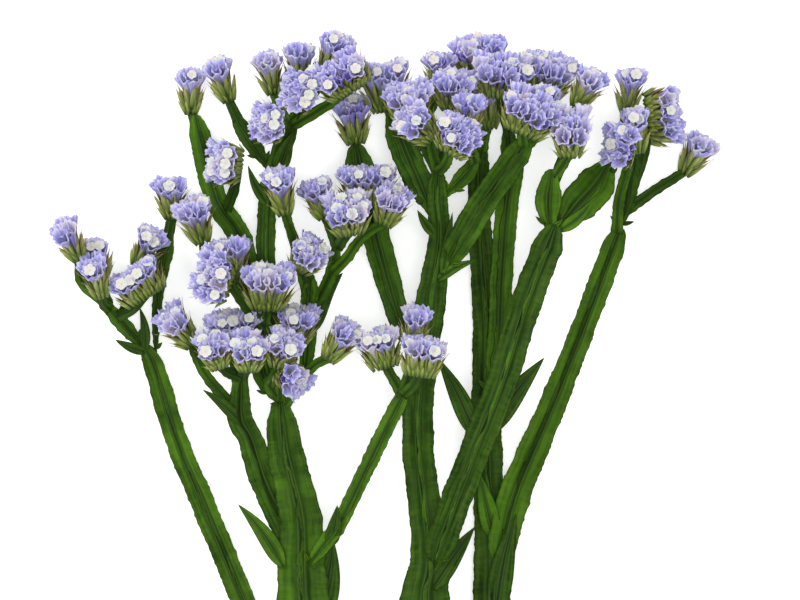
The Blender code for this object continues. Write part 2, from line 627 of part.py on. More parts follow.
def trimmed(made, ground):
    """Flattens what would reach below the surface that the spray lies on."""
    return cut(made, ground, "EXACT") if lowest(made) < 0 else made


def grown(source):
    """A copy that stands out by the clearance all over, to cut room for the source."""
    mesh = source.data.copy()
    normals = [v.normal.copy() for v in mesh.vertices]
    for vertex, normal in zip(mesh.vertices, normals):
        vertex.co += normal * GAP * MILLIMETRE
    made = bpy.data.objects.new(source.name + "_room", mesh)
    bpy.context.scene.collection.objects.link(made)
    return made


def boxes_meet(first, second):
    for axis in range(3):
        a = [v.co[axis] for v in first.data.vertices]
        b = [v.co[axis] for v in second.data.vertices]
        if max(a) < min(b) or max(b) < min(a):
            return False
    return True


def finish(made, skin):
    made.data.materials.clear()
    made.data.materials.append(skin)
    made.data.shade_smooth()
    made.data.set_sharp_from_angle(angle=SHARP_ANGLE)


def main():
    clear_scene()
    leafy = material("green", GREEN, GREEN_ROUGHNESS)
    papery = material("lavender", LAVENDER, LAVENDER_ROUGHNESS)
    home = bpy.context.scene.collection
    bpy.ops.mesh.primitive_cube_add(size=GROUND_SIZE, location=(0, 0, -GROUND_SIZE / 2))
    ground = bpy.context.object
    green_group = bpy.data.collections.new("green")
    home.children.link(green_group)
    for name, points in STEMS.items():
        stem(name, points, green_group)
    for i, (base, tip, width) in enumerate(LEAVES):
        leaf(f"leaf_{i}", base, tip, width, green_group)
    heads = [flower_head(name, spec, green_group) for name, spec in HEADS.items()]
    stems = fused("stems", green_group)
    keep_one_body(stems)
    stems = trimmed(stems, ground)
    finish(stems, leafy)
    rooms = [grown(stems)]
    for head in heads:
        for other in rooms:
            if boxes_meet(head, other):
                head = cut(head, other, "MANIFOLD")
        keep_one_body(head)
        head = trimmed(head, ground)
        finish(head, papery)
        rooms.append(grown(head))
    for helper in rooms + [ground]:
        bpy.data.objects.remove(helper, do_unlink=True)


main()
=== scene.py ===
"""A cut spray of statice lying on a pale surface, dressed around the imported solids.

The stems get wavy toothed wings and veins, and each head gets ruffled papery calyces, white
corollas and tiers of keeled bracts. The tables are the solids' own, in millimetres.
"""

import math
import random

import bpy
import numpy as np
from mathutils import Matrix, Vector

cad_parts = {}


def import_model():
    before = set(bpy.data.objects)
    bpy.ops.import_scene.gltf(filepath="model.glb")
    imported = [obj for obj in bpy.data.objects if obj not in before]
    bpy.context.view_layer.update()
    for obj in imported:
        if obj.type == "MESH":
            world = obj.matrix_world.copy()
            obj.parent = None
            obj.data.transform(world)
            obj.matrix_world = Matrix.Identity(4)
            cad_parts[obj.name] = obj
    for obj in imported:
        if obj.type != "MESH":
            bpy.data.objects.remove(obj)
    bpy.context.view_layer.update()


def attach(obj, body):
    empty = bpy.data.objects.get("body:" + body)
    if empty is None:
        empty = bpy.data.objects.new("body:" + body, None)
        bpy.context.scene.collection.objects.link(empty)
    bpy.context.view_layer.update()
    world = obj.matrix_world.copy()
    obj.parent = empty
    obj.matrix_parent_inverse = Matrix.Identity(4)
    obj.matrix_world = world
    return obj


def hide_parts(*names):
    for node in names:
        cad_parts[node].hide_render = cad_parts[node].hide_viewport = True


# The frame of the tables, in millimetres
REST_SPOT = np.array((35.0, 84.0, 0.0))  # the flat spot on the underside, which is the frame's origin
AIM = (0.0, 120.0)  # the middle of the picture
VIEW_WIDTH = 320.0  # width of the picture at the height of most heads
VIEW_LEVEL = 35.0
CAMERA_HEIGHT = 2400.0
SENSOR = 36.0

# The waves that make up a smooth random curve: their lengths and heights, and how far a length varies
DRIFT_WAVES = ((1.0, 0.5), (0.53, 0.35), (0.31, 0.25))
DRIFT_SCATTER = (0.85, 1.15)

# The stems, in millimetres or as shares of a stem's width, with the points along and across them first
STEM_STEP = 1.2
ACROSS = (-1, -0.92, -0.66, -0.4, -0.25, -0.15, -0.05, 0.05, 0.15, 0.25, 0.4, 0.66, 0.92, 1)
STALK_STEP = 1.6
STALK_ACROSS = (-1, -0.6, -0.25, -0.1, 0.1, 0.25, 0.6, 1)
STALK_WIDTHS = (4.6, 3.6)  # a head's stalk at the stem and at the head
ROOT_TAPER = 15.0  # a branch widens over this length from its root
ROOT_WIDTH = 0.35
ROOT_DROP = 2.0  # and rises this far out of the stem that carries it
TIP_TAPER = 9.0  # the wings round off over this length to this share of their width
TIP_WIDTH = 0.25
CORE_WIDTH = 0.30
CORE_HEIGHT = 0.12
RIDGE_PLACE = 0.15  # two ridges run beside the middle
RIDGE_WIDTH = 0.07
RIDGE_HEIGHT = 0.09
WRINKLE_DEPTH = 0.12
WRINKLE_WAVE = 5
WING_EDGE = 0.5  # thickness of a wing at its edge
EDGE_DRIFT = 0.05  # how much a wing's width varies, and over which length
EDGE_WAVE = 24
EDGE_TOOTH = 1.0
TOOTH_SPACING = (1.4, 5.0)
TOOTH_LENGTH = (1.2, 2.4)
TOOTH_HEIGHT = (0.3, 1)
WING_FOLD = (-0.1, 0.24)  # how far a wing lifts at its edge
WING_WAVE = 0.07
FOLD_WAVE = 34
FOLD_CURVE = 1.4
WING_FRILL = 0.03  # and how much its edge ripples
FRILL_WAVE = 8
FRILL_CURVE = 4

# The wings that stand up along the stems
KEEL_HEIGHT = 0.15
KEEL_RIPPLE = 0.06
RIPPLE_WAVE = 20
KEEL_TAPER = 12.0
KEEL_TOOTH = 0.7
KEEL_LEAN = (0.3, 0.9)  # in radians
KEEL_SWAY = 0.5
SWAY_WAVE = 45
KEEL_SEAT = 0.9  # height of its foot, as a share of the stem's core
KEEL_CURL = 0.25
KEEL_LEVELS = ((0, 0.5), (0.5, 0.32), (1, 0.16))  # shares of its height, and half its thickness there
KEEL_ACROSS = (0.1, 0.5, 1, 1, 0.5, 0.1)

# The leaves, in millimetres or as shares of their length or width
FEWEST_ROWS = 8
LEAF_STEP = 1.3
LEAF_ACROSS = (-1, -0.7, -0.35, -0.1, 0.1, 0.35, 0.7, 1)
LEAF_EDGE = 0.25
LEAF_BOW = 0.08
LEAF_ARCH = 0.14
LEAF_SWELL = 0.6  # under 1, which makes a leaf widest nearer its foot
LEAF_FULLNESS = 0.85
LEAF_FOOT = 0.45
LEAF_TIP = 0.06
LEAF_RIB = 0.07
LEAF_RIB_WIDTH = 0.12
LEAF_FOLD = 0.22
LEAF_CRINKLE = 0.05
CRINKLE_WAVE = 9
HOOK_PLACES = (2, 7)  # rows of points at which the small leaves grow where a branch leaves its stem
HOOK_AHEAD = (0.6, 1.2)
HOOK_RISE = 0.3
HOOK_REACH = (3.0, 5.5)
HOOK_WIDTH = 1.8

# The flower heads, in millimetres or as shares
CALYX_PITCH = 4.4
CALYX_HEIGHT = (0.9, 1.03)
WIDEST_SPLAY = math.tan(math.radians(32))
ACROSS_SCATTER = 0.05
FRONT_SCATTER = 0.06
ROW_PITCH = 0.41  # how much more each row of calyces leans than the one below it
FRONT_LEAN = 1.0
FRONT_TILT = 0.55  # and how much less on a head that faces upwards itself
BACK_LEAN = 0.35
BACK_TILT = 0.2
ROW_DROP = 0.13  # how much shorter a row is for its lean, squared
ROW_ROOTS = 0.8
BUD_SHARE = 0.12
BUD_OPENNESS = (0.4, 0.65)
BUD_HEIGHT = (0.8, 0.2)  # height of a closed calyx, and how much more it has when it opens

# A calyx
CALYX_COLUMNS = 28
OUTER_RISE = (0, 0.3, 0.52, 0.67, 0.8, 0.92, 1)  # heights up a calyx, as shares
OUTER_FLARE = (0, 0.04, 0.13, 0.33, 0.64, 0.9, 1)  # and how far it has opened there
INNER_RISE = (1, 0.9, 0.78, 0.54)
INNER_FLARE = (1, 0.7, 0.36, 0.06)
FIRST_BEND = 0.55  # how a leaning calyx bends outwards, with its height and with its height squared
SECOND_BEND = 0.4
PAPER = 0.12  # thickness of a calyx
TUBE = 0.7  # radius of a calyx at its root
MOUTH = 3.85  # radius of a full calyx at its rim
MOUTH_SHARE = 0.62  # on a crowded head it is this share of its room across, and this much more
MOUTH_OVERLAP = 1.1
SQUASH = 0.86
LOBES = 5
LOBE_REACH = 0.11
PLEAT = 0.09
PLEAT_BEAT = (0.3, 7)  # height and number of the waves that make the pleats uneven
CRUMPLE = 0.08
CRUMPLE_WAVES = ((0.7, 3), (0.4, 7))  # heights and numbers of the waves round the rim
RIM_RISE = 0.5
RIM_FRILL = 0.35
FRILL_LAG = 1.2

# The corollas
FLOWERING_LEANS = (-0.2, 0.3, 0.9)  # leans of a row, and the part of its calyces that flower
FLOWERING = (0.12, 0.32, 0.34)
COROLLA_RADIUS = 2.4
COROLLA_SCATTER = (0.85, 1.1)
COROLLA_RISE = 1.0  # how high in its calyx a corolla sits
COROLLA_LIFT = 0.9  # and how much further towards the upper side of the spray
COROLLA_TILT = (0.3, 0.9)
COROLLA_COLUMNS = 25
COROLLA_FACE = (0.08, 0.35, 0.65, 0.9, 1)  # rings of points, as shares of the radius
COROLLA_BACK = (1, 0.85, 0.5, 0.2, 0.14)
COROLLA_TUBE = 3.0
COROLLA_CUP = 0.35
CUP_CURVE = 1.6
COROLLA_DROOP = 0.3
DROOP_CURVE = 6
PETALS = 5
PETAL_PAPER = 0.12  # thickness of a petal
PETAL_GAP = 0.72  # reach between two petals, and how much further the petals go
PETAL_LENGTH = 0.3
PETAL_NOTCH = 0.08
PETAL_WAVE = 0.1
PETAL_CRINKLE = 0.07
NEARLY_UPRIGHT = 0.9  # rise of a corolla's direction past which its sides are found another way

# The bracts
BRACT_WIDTH = 2.2
BRACT_SCATTER = (0.85, 1.15)
BRACT_RISE = (0, 0.25, 0.52, 0.78, 0.93, 1.18)  # shares of the length, the last for the spine's point
BRACT_OUTLINE = (0.6, 0.95, 1, 0.6, 0.16, 0.03)  # and of the width there
BRACT_KEEL = 0.62
BRACT_SINK = 0.3
BRACT_THICKNESS = 0.13  # half of it, at its foot
BRACT_CURL = (0.0, 0.16)
CURL_CURVE = 2.5
BRACT_PITCH = 1.9
BRACT_PLACES = (0.3, 0.7)
BRACT_TIERS = ((0.3, 3.8), (0.56, 5.2))  # height of the low bracts, and how far their tips stand out
FEWEST_BRACTS = 4
FOOT_ROOM = 6
FOOT_MARGIN = 2.0
ROOT_SPREAD = (0.3, 0.9)  # how far out they grow at a foot's ends, and how much more at its middle
ROOT_DEPTH = 1.5
TIER_STEP = 0.5
TIER_HEIGHT = (0.85, 1.12)
TIER_SPLAY = 1.3
TIER_REACH = 2.2
TIP_SPREAD = (0.35, 0.65)  # and their tips, as shares
TIER_FACING = 0.25  # how far those at a foot's ends still turn to its front
CALYX_BRACTS = 3  # round each calyx
CLASP = (0.02, 0.62)  # the part of a calyx's tube that they follow, as shares of its height
CLASP_TURN = 0.5
CLASP_ROOT = 0.5
CLASP_SCATTER = (0.8, 1.5)
BRACT_REACH = (0.66, 0.86)  # how high they reach, as a share of the calyx
BRACT_ROOM = 2.3

# The fine hairs among the bracts
BRISTLES = 18  # on a head
BRISTLE_LENGTH = (1.8, 3.4)
BRISTLE_RADIUS = 0.09
BRISTLE_RISE = (0, 0.5, 1)
BRISTLE_TAPER = (1, 0.8, 0.1)
BRISTLE_SIDES = 3
BRISTLE_HEIGHT = (0.05, 0.5)
BRISTLE_AHEAD = (0.3, 1.2)
BRISTLE_ALONG = 1.4
BRISTLE_FACING = 0.2
BRISTLE_MARGIN = 1.5
BRISTLE_ROOT = 2.2

# The studio, in metres and watts
FLOOR_DROP = 0.2  # in millimetres
FLOOR_SIZE = 6
FLOOR_GLOW = 0.42
SKY = 0.75
LAMPS = (  # each with its place, its side and its power
    ("key", (-1.2, 1.0, 1.6), 0.8, 20.0),
    ("overhead", (0.1, -0.1, 2.8), 0.9, 30.0),
)
FARTHEST_SEEN = 20

# Each stem is a route of points: a place and the stem's width there.
STEMS = {
    "trunk": [(1, -134, 3.2, 16), (0, -112, 3.6, 16), (1, -82, 9, 17)],
    "left": [
        (1, -84, 9, 14), (-10, -70, 12, 14), (-23, -50, 15, 15), (-33, -24, 19, 19), (-39, 0, 22, 21),
        (-40, 32, 26, 17), (-46, 60, 30, 14), (-48, 80, 33, 11),
    ],
    "left_outer": [
        (-24, -52, 15, 8), (-41, -38, 13, 9), (-56, -18, 12, 9.5), (-68, 10, 11, 9.5),
        (-80.5, 40, 10, 9.5), (-90.5, 64, 10, 9), (-99, 92, 10, 8.5), (-104, 102, 11, 7),
    ],
    "left_outer_fork": [(-102, 99, 11, 6), (-110, 108, 12, 6), (-116, 115, 13, 6), (-119, 120, 14, 5)],
    "left_outer_upright": [(-99, 97, 10, 3), (-98, 120, 9, 4), (-95, 140, 9, 7), (-93, 149, 9, 6)],
    "left_front": [
        (-39, 11, 24, 5), (-29, 24, 33, 6), (-23.5, 32, 37, 6), (-8, 64, 44, 6.4), (3, 86, 46, 6.4),
    ],
    "left_side": [
        (-38, 10, 23, 7), (-46, 28, 21, 11), (-55, 48, 23, 11), (-60, 64, 26, 10), (-64, 72, 28, 10),
        (-64, 84, 33, 7), (-63, 93, 39, 7),
    ],
    "left_middle": [(-47, 78, 33, 6), (-52, 86, 39, 6), (-52, 90, 43, 5)],
    "left_back": [
        (-48, 78, 31, 5), (-56, 92, 20, 8), (-60, 120, 15, 9), (-64, 144, 14, 9), (-74, 160, 12, 9),
        (-80, 183, 9, 9), (-83, 195, 7, 8),
    ],
    "left_inner": [
        (-47, 78, 31, 4), (-49, 92, 24, 6), (-52, 112, 20, 7.5), (-54, 144, 21, 7.5),
        (-52, 174, 23, 7),
    ],
    "left_inner_fork": [(-52, 172, 23, 6), (-56, 178, 22, 7), (-64, 190, 22, 7), (-67, 196, 23, 5)],
    "left_inner_top": [(-52, 172, 23, 5), (-46, 181, 25, 5), (-42, 193, 30, 5)],
    "left_upright": [
        (-46, 78, 32, 4), (-39, 90, 29, 5), (-37, 102, 24, 6), (-37, 113, 20, 7), (-36, 124, 26, 7),
        (-36, 130, 31, 6),
    ],
    "left_upright_fork": [(-37, 112, 20, 4), (-30, 125, 26, 5), (-27, 133, 29, 5), (-25, 144, 32, 5)],
    "right": [
        (1, -84, 9, 14), (7, -66, 12, 15), (11, -48, 15, 16), (12, -24, 19, 18), (10, 0, 22, 20),
        (12, 14, 24, 16), (10.5, 32, 25, 13), (7.2, 62, 26, 12.5), (8.2, 88, 26, 12),
        (12.5, 120, 26, 12), (16, 144, 27, 9), (15, 160, 29, 8), (15, 174, 37, 6),
    ],
    "right_left_fork": [(13, 154, 28, 9), (7, 168, 26, 11), (2, 180, 24, 11.5), (-4, 196, 21, 9)],
    "right_right_fork": [(17, 161, 30, 6), (27, 171, 32, 7), (31, 178, 37, 5)],
    "right_broad": [
        (16, 130, 27, 9), (25, 145, 34, 11), (34, 160, 38, 11), (48, 180, 46, 10),
        (49, 186, 50, 7),
    ],
    "middle": [
        (8, 98, 25, 9), (0, 112, 22, 9), (-10, 147, 18, 11.5), (-15, 166, 16, 12.5),
        (-18, 183, 16, 11),
    ],
    "front": [
        (13, 12, 26, 11), (18, 28, 36, 12), (31, 63, 44, 12), (40, 86, 46, 12),
        (50, 118, 44, 12), (59, 142, 42, 12), (62, 150, 42, 11),
    ],
    "front_left_fork": [(60, 146, 42, 9), (59, 160, 43, 10.5), (60.5, 172, 47, 9)],
    "front_right_fork": [(62, 148, 41, 10), (71, 158, 38, 15), (79, 167, 34, 15.5), (83.5, 175, 30, 12)],
    "back": [
        (9, -60, 13, 10), (20, -50, 12, 11), (34, -28, 9, 12), (37, 0, 6, 15.5), (37.5, 20, 4, 15),
        (36, 44, 1.9, 12), (35, 74, 1.8, 12), (35, 104, 1.9, 11), (34, 124, 5, 10), (32, 154, 12, 9),
        (32, 174, 15, 8), (34, 184, 16, 5),
    ],
    "back_fork": [
        (36, 76, 3, 8), (40, 104, 4, 9), (41, 128, 7, 9), (43, 156, 13, 9),
        (45, 172, 17, 9), (43, 190, 27, 6),
    ],
    "far_right": [
        (39, 8, 6, 11), (46, 40, 9, 13), (60, 74, 14, 11), (72, 104, 16, 9.5),
        (89, 149, 14, 9.5),
    ],
    "far_right_middle": [(88, 148, 14, 6), (92, 160, 17, 6), (94, 174, 25, 5)],
    "middle_cluster": [(-52, 88, 34, 5), (-54, 103, 31, 5), (-54, 110, 36, 4.5), (-54, 113, 40, 4)],
}

# Each leaf is a base point, a tip point and its width.
LEAVES = [
    ((-103, 100, 11), (-105, 117, 15), 4),
    ((-103, 99, 11), (-115, 104, 13), 4),
    ((-63, 70, 28), (-79, 84, 31), 5),
    ((-47, 13, 23), (-65, 38, 27), 7),
    ((-28, 22, 32), (-25, 38, 42), 6),
    ((-53, 158, 22), (-61, 174, 27), 4),
    ((-49, 172, 24), (-43, 187, 31), 7),
    ((-36, 107, 19), (-23, 131, 20), 8),
    ((-38, -14, 19), (-27, 24, 21), 13),
    ((30, 66, 44), (15, 97, 39), 8),
    ((13, 4, 23), (30, 29, 29), 8),
    ((17, 130, 28), (21, 155, 33), 4),
    ((14, 146, 27), (7, 156, 31), 4),
    ((15, 128, 27), (31, 136, 31), 4),
    ((11, 106, 26), (2, 119, 29), 4),
    ((64, 148, 41), (77, 160, 45), 5),
    ((38, 24, 5), (32, 50, 13), 8),
    ((39, -6, 6), (47, 34, 9), 10),
    ((35, 67, 45), (57.5, 97, 43), 9),
]

# Each head is the way it faces in the plane of the spray and its lean towards the upper side, in degrees,
# then its height, its width at the mouths and the length of its foot, then its stalk's route to its foot.
HEADS = {
    "head_far_left": ((118, 10), (16, 14, 2), [(-118, 118, 13), (-128, 127, 19), (-129, 137, 25)]),
    "head_far_left_back": ((100, 0), (14, 14, 3), [(-118, 118, 13), (-120, 124, 11), (-121, 130, 10)]),
    "head_far_left_front": ((104, 15), (16, 13, 2), [(-117, 116, 13), (-119, 118, 20), (-120, 122, 26)]),
    "head_left_comb": ((122, 10), (12, 23, 14), [(-115, 113, 12), (-108, 116, 20), (-102, 122, 26)]),
    "head_left_stalked": ((62, 5), (15, 15, 2), [(-113, 112, 12), (-108, 124, 13), (-105.5, 134.5, 17)]),
    "head_left_upright": ((92, 5), (15, 17, 3), [(-94, 145, 9), (-92, 154, 9)]),
    "head_left_thin": ((130, 15), (16, 15, 3), [(-64, 74, 28), (-78, 90, 27), (-84, 103, 27)]),
    "head_top_left": ((92, 0), (16, 13, 2), [(-82, 188, 8), (-84.5, 196.5, 5.6)]),
    "head_top_left_fork": ((110, 5), (16, 13, 2), [(-65, 192, 22), (-69, 201, 24)]),
    "head_top_thin": ((100, 0), (15, 14, 2), [(-43, 188, 27), (-48, 196, 20), (-51, 204, 18)]),
    "head_top_edge": ((92, 0), (16, 14, 4), [(-42, 190, 28), (-42, 198, 24), (-40, 206, 22)]),
    "head_top_right": ((70, 0), (17, 14, 4), [(-42, 191, 29), (-36, 201, 25), (-30, 210, 24)]),
    "head_top_diagonal": ((122, 35), (14, 24, 14), [(-43, 190, 29), (-32, 196, 36), (-20, 204, 41)]),
    "head_top_front": ((165, 60), (12, 18, 10), [(-42, 191, 29), (-36, 202, 39)]),
    "head_inner_comb": ((172, 50), (12, 17, 9), [(-52, 172, 23), (-49, 182, 28), (-48, 190, 34)]),
    "head_back_comb": ((172, 35), (12, 18, 10), [(-71, 155, 12), (-67, 164, 18), (-65, 174, 25)]),
    "head_back_side": (
        (108, 10), (17, 17, 3), [(-60, 120, 16), (-70, 128, 19), (-77, 137, 24), (-79.5, 144, 27)],
    ),
    "head_upright_side": ((100, 10), (17, 14, 2), [(-37, 122, 26), (-42, 142, 31), (-46, 155, 40)]),
    "head_upright_top": ((55, 35), (13, 17, 5), [(-36, 128, 30), (-40, 133, 37)]),
    "head_middle_front": ((160, 45), (14, 24, 12), [(-54, 109, 36), (-61, 117, 44), (-68, 127, 48)]),
    "head_middle_back": ((100, 0), (17, 19, 4), [(-54, 104, 32), (-61, 116, 32), (-66, 127, 33)]),
    "head_middle": ((88, 18), (17, 24, 9), [(-54, 110, 36), (-53, 117, 44)]),
    "head_upper_left": ((110, 5), (14, 15, 3), [(-25, 141, 31), (-28, 149, 32), (-30, 154, 32)]),
    "head_upper_row": ((92, 5), (14, 25, 13), [(-25, 141, 31), (-18, 152, 30), (-13, 159, 30)]),
    "head_upper_front": ((98, 30), (15, 22, 8), [(-25, 141, 31), (-23, 144, 40), (-20, 147, 49)]),
    "head_upper_right": (
        (68, 20), (15, 16, 4), [(-27, 131, 29), (-22, 136, 33), (-15, 145, 43), (-6, 151, 46)],
    ),
    "head_side_left": ((95, 8), (13, 26, 11), [(-64, 83, 32), (-66, 93, 33), (-66, 102, 33)]),
    "head_side_right": ((84, 12), (14, 20, 5), [(-47, 79, 33), (-44, 92, 35), (-42, 103, 35)]),
    "head_side_front_left": ((108, 28), (14, 17, 4), [(-63, 89, 37), (-68, 91, 45), (-72, 94, 50)]),
    "head_side_front_middle": ((90, 28), (14, 17, 5), [(-63, 89, 37), (-62, 91, 46), (-60, 93, 54)]),
    "head_side_front_right": ((72, 26), (14, 16, 4), [(-52, 86, 40), (-50, 90, 46), (-48, 94, 50)]),
    "head_side_front_low": ((-40, 40), (12, 14, 5), [(-48, 79, 33), (-48, 88, 42), (-47, 92, 47)]),
    "head_right_fork": (
        (56, 10), (16, 14, 3), [(-46, 78, 33), (-40, 87, 36), (-34, 94, 40), (-28, 97, 43)],
    ),
    "head_front_left": ((105, 5), (14, 18, 7), [(1, 82, 46), (-3, 89, 46), (-6, 94, 46)]),
    "head_front_tall": ((82, 5), (15, 13, 2), [(1, 82, 46), (4, 93, 49), (5, 102, 51)]),
    "head_front_comb": ((82, 10), (14, 19, 9), [(1, 82, 46), (5, 86, 54), (8, 91, 61)]),
    "head_crown_edge": ((97, 5), (18, 18, 4), [(-17, 175, 16), (-18, 184, 16)]),
    "head_crown_left_back": ((98, 0), (18, 24, 9), [(-1, 187, 22), (-5, 197, 20)]),
    "head_crown_left": ((95, 22), (15, 22, 8), [(15, 171, 35), (9, 183, 37), (4, 192, 38)]),
    "head_crown_back": ((90, 0), (14, 15, 3), [(2, 178, 24), (10, 192, 19), (16, 205, 17)]),
    "head_crown_middle": ((85, 22), (15, 20, 6), [(15, 172, 36), (18, 186, 34), (21, 197, 33)]),
    "head_crown_front": ((138, 25), (15, 18, 6), [(15, 172, 36), (13, 179, 46), (12, 185, 54)]),
    "head_crown_right": ((80, 5), (15, 15, 4), [(30, 175, 35), (28, 182, 42), (26, 187, 47)]),
    "head_crown_low": ((62, 38), (14, 20, 8), [(15, 171, 35), (18, 174, 50), (20, 179, 62)]),
    "head_peak_low": ((95, 0), (17, 17, 5), [(33, 180, 16), (35, 190, 16)]),
    "head_peak_left": (
        (97, 12), (16, 26, 11), [(32, 176, 15), (26, 192, 12), (27, 203, 13), (33, 210, 15)],
    ),
    "head_peak": ((84, 28), (16, 27, 13), [(44, 186, 25), (40, 202, 33)]),
    "head_peak_right": ((74, 18), (17, 25, 9), [(45, 174, 18), (52, 190, 19), (57, 202, 20)]),
    "head_broad": ((66, 32), (16, 26, 12), [(49, 181, 48), (48.5, 187, 54)]),
    "head_broad_side": ((84, 0), (14, 12, 3), [(47, 178, 45), (54, 185, 42), (57.5, 190.5, 40)]),
    "head_front_fork": ((90, 35), (18, 17, 5), [(61.5, 169, 46), (67.5, 178, 51)]),
    "head_front_side": ((62, 5), (15, 14, 2), [(60, 164, 44), (68, 184, 38), (71, 198, 34)]),
    "head_far_right_back": ((82, 0), (16, 13, 2), [(84, 171, 31), (89, 186, 20), (91.5, 196.5, 16)]),
    "head_far_right_comb": (
        (172, 55), (11, 18, 10), [(87.5, 147, 14), (88, 160, 24), (91, 173, 36), (92, 181, 42)],
    ),
    "head_far_right_middle": ((95, 5), (16, 13, 2), [(94, 171, 23), (95, 180, 30)]),
    "head_far_right_side": ((8, 10), (12, 24, 17), [(93, 164, 19), (98, 178, 19), (100.5, 193, 18)]),
    "head_far_right_low": ((58, 0), (15, 15, 2), [(91, 156, 15), (104, 165, 10), (115.5, 172, 5.8)]),
}

MILLIMETRE = 0.001
UP = np.array((0.0, 0.0, 1.0))


def colour(red, green, blue):
    """A shader colour from the 0 to 255 values that a screen shows."""
    shares = [value / 255 for value in (red, green, blue)]
    return tuple(((s + 0.055) / 1.055) ** 2.4 if s > 0.04 else s / 12.92 for s in shares) + (1.0,)


def unit(vectors):
    """The same directions, each 1 long."""
    return vectors / np.linalg.norm(vectors, axis=-1, keepdims=True)


def drift(draw, places, wavelength):
    """A smooth random curve between about -1 and 1, read at the given places."""
    total = np.zeros(len(places))
    for share, size in DRIFT_WAVES:
        pace = 2 * math.pi / (wavelength * share * draw.uniform(*DRIFT_SCATTER))
        total += size * np.sin(places * pace + draw.uniform(0, 2 * math.pi))
    return total


def phase(draw):
    """Where a wave round a flower starts, in radians."""
    return draw.uniform(0, 6)


class Sheaf:
    """Grids of points, in millimetres, gathered into one mesh with named values at each point."""

    def __init__(self, *names):
        self.names = names
        self.points = []
        self.values = []
        self.quads = []
        self.caps = []
        self.count = 0

    def add(self, points, **values):
        """A grid whose last column joins its first, closed at both ends by a face."""
        rows, columns = points.shape[:2]
        self.points.append(points.reshape(-1, 3))
        whole = [np.broadcast_to(values[name], (rows, columns)).ravel() for name in self.names]
        self.values.append(np.stack(whole, axis=1))
        low = (np.arange(rows - 1)[:, None] * columns + np.arange(columns)) + self.count
        after = np.roll(low, -1, axis=1)
        self.quads.append(np.stack((low, after, after + columns, low + columns), axis=-1).reshape(-1, 4))
        first = self.count + np.arange(columns)
        self.caps += [first[::-1], first + (rows - 1) * columns]
        self.count += rows * columns

    def made(self, name, skin, slot, *nodes):
        """Makes the mesh a piece of the scene that stands for the named nodes."""
        points = np.concatenate(self.points) - REST_SPOT
        points[:, 2] = np.maximum(points[:, 2], 0)
        values = np.concatenate(self.values)
        mesh = bpy.data.meshes.new(name)
        faces = np.concatenate(self.quads).tolist() + [cap.tolist() for cap in self.caps]
        mesh.from_pydata(points * MILLIMETRE, [], faces)
        for column, value_name in enumerate(self.names):
            layer = mesh.attributes.new(value_name, "FLOAT", "POINT")
            layer.data.foreach_set("value", values[:, column].astype(np.float32))
        mesh.materials.append(skin)
        mesh.shade_smooth()
        piece = bpy.data.objects.new(name, mesh)
        bpy.context.scene.collection.objects.link(piece)
        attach(piece, "root")
        if nodes:
            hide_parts(*nodes)


def smooth_route(points, spacing):
    """Points along a smooth curve through the given points, with the width carried along."""
    rows = [np.array(p[:3], float) for p in points]
    ends = [rows[0] * 2 - rows[1]] + rows + [rows[-1] * 2 - rows[-2]]
    spots, widths = [], []
    for i in range(len(rows) - 1):
        a, b, c, d = ends[i : i + 4]
        steps = max(1, round(np.linalg.norm(c - b) / spacing))
        for k in range(steps):
            t = k / steps
            spot = 0.5 * (2 * b + (c - a) * t + (2 * a - 5 * b + 4 * c - d) * t**2)
            spots.append(spot + 0.5 * (3 * b - a - 3 * c + d) * t**3)
            widths.append(points[i][3] * (1 - t) + points[i + 1][3] * t)
    return np.array(spots + [rows[-1]]), np.array(widths + [points[-1][3]])


def route_frame(spots):
    """Along, sideways and upwards at each point of a route, and the distance from its start."""
    along = unit(np.gradient(spots, axis=0))
    up = unit(UP - along * along[:, 2:])
    side = np.cross(up, along)
    steps = np.linalg.norm(np.diff(spots, axis=0), axis=1)
    return along, side, up, np.concatenate(([0], np.cumsum(steps)))


def toothed(draw, places):
    """An edge with small uneven teeth that point towards the tip, between 0 and 1."""
    edge = np.zeros(len(places))
    spot = draw.uniform(0, TOOTH_SPACING[0])
    while spot < places[-1]:
        reach = draw.uniform(*TOOTH_LENGTH)
        share = (places - spot) / reach
        tooth = np.where((share > 0) & (share <= 1), share, 0)
        edge = np.maximum(edge, tooth * draw.uniform(*TOOTH_HEIGHT))
        spot += draw.uniform(*TOOTH_SPACING)
    return edge


def eased(share):
    """A share that leaves 0 and reaches 1 gently."""
    share = np.clip(share, 0, 1)
    return share * share * (3 - 2 * share)


def grown_route(points, rooted):
    """A stem's route, tapered at its tip and, on a branch, from within what carries it."""
    spots, width = smooth_route(points, STEM_STEP)
    places = route_frame(spots)[3]
    rounded = np.sqrt(np.minimum(1, (places[-1] - places) / TIP_TAPER))
    width = width * (TIP_WIDTH + (1 - TIP_WIDTH) * rounded)
    if rooted:
        grown = eased(places / min(ROOT_TAPER, places[-1] / 2))
        width = width * (ROOT_WIDTH + (1 - ROOT_WIDTH) * grown)
        spots = spots - UP * (ROOT_DROP * (1 - grown))[:, None]
    return spots, width


def both_faces(columns):
    """Places across a blade's upper face and back across its lower one, and which face each is on."""
    return np.array(columns + columns[::-1]), np.array([1] * len(columns) + [-1] * len(columns))


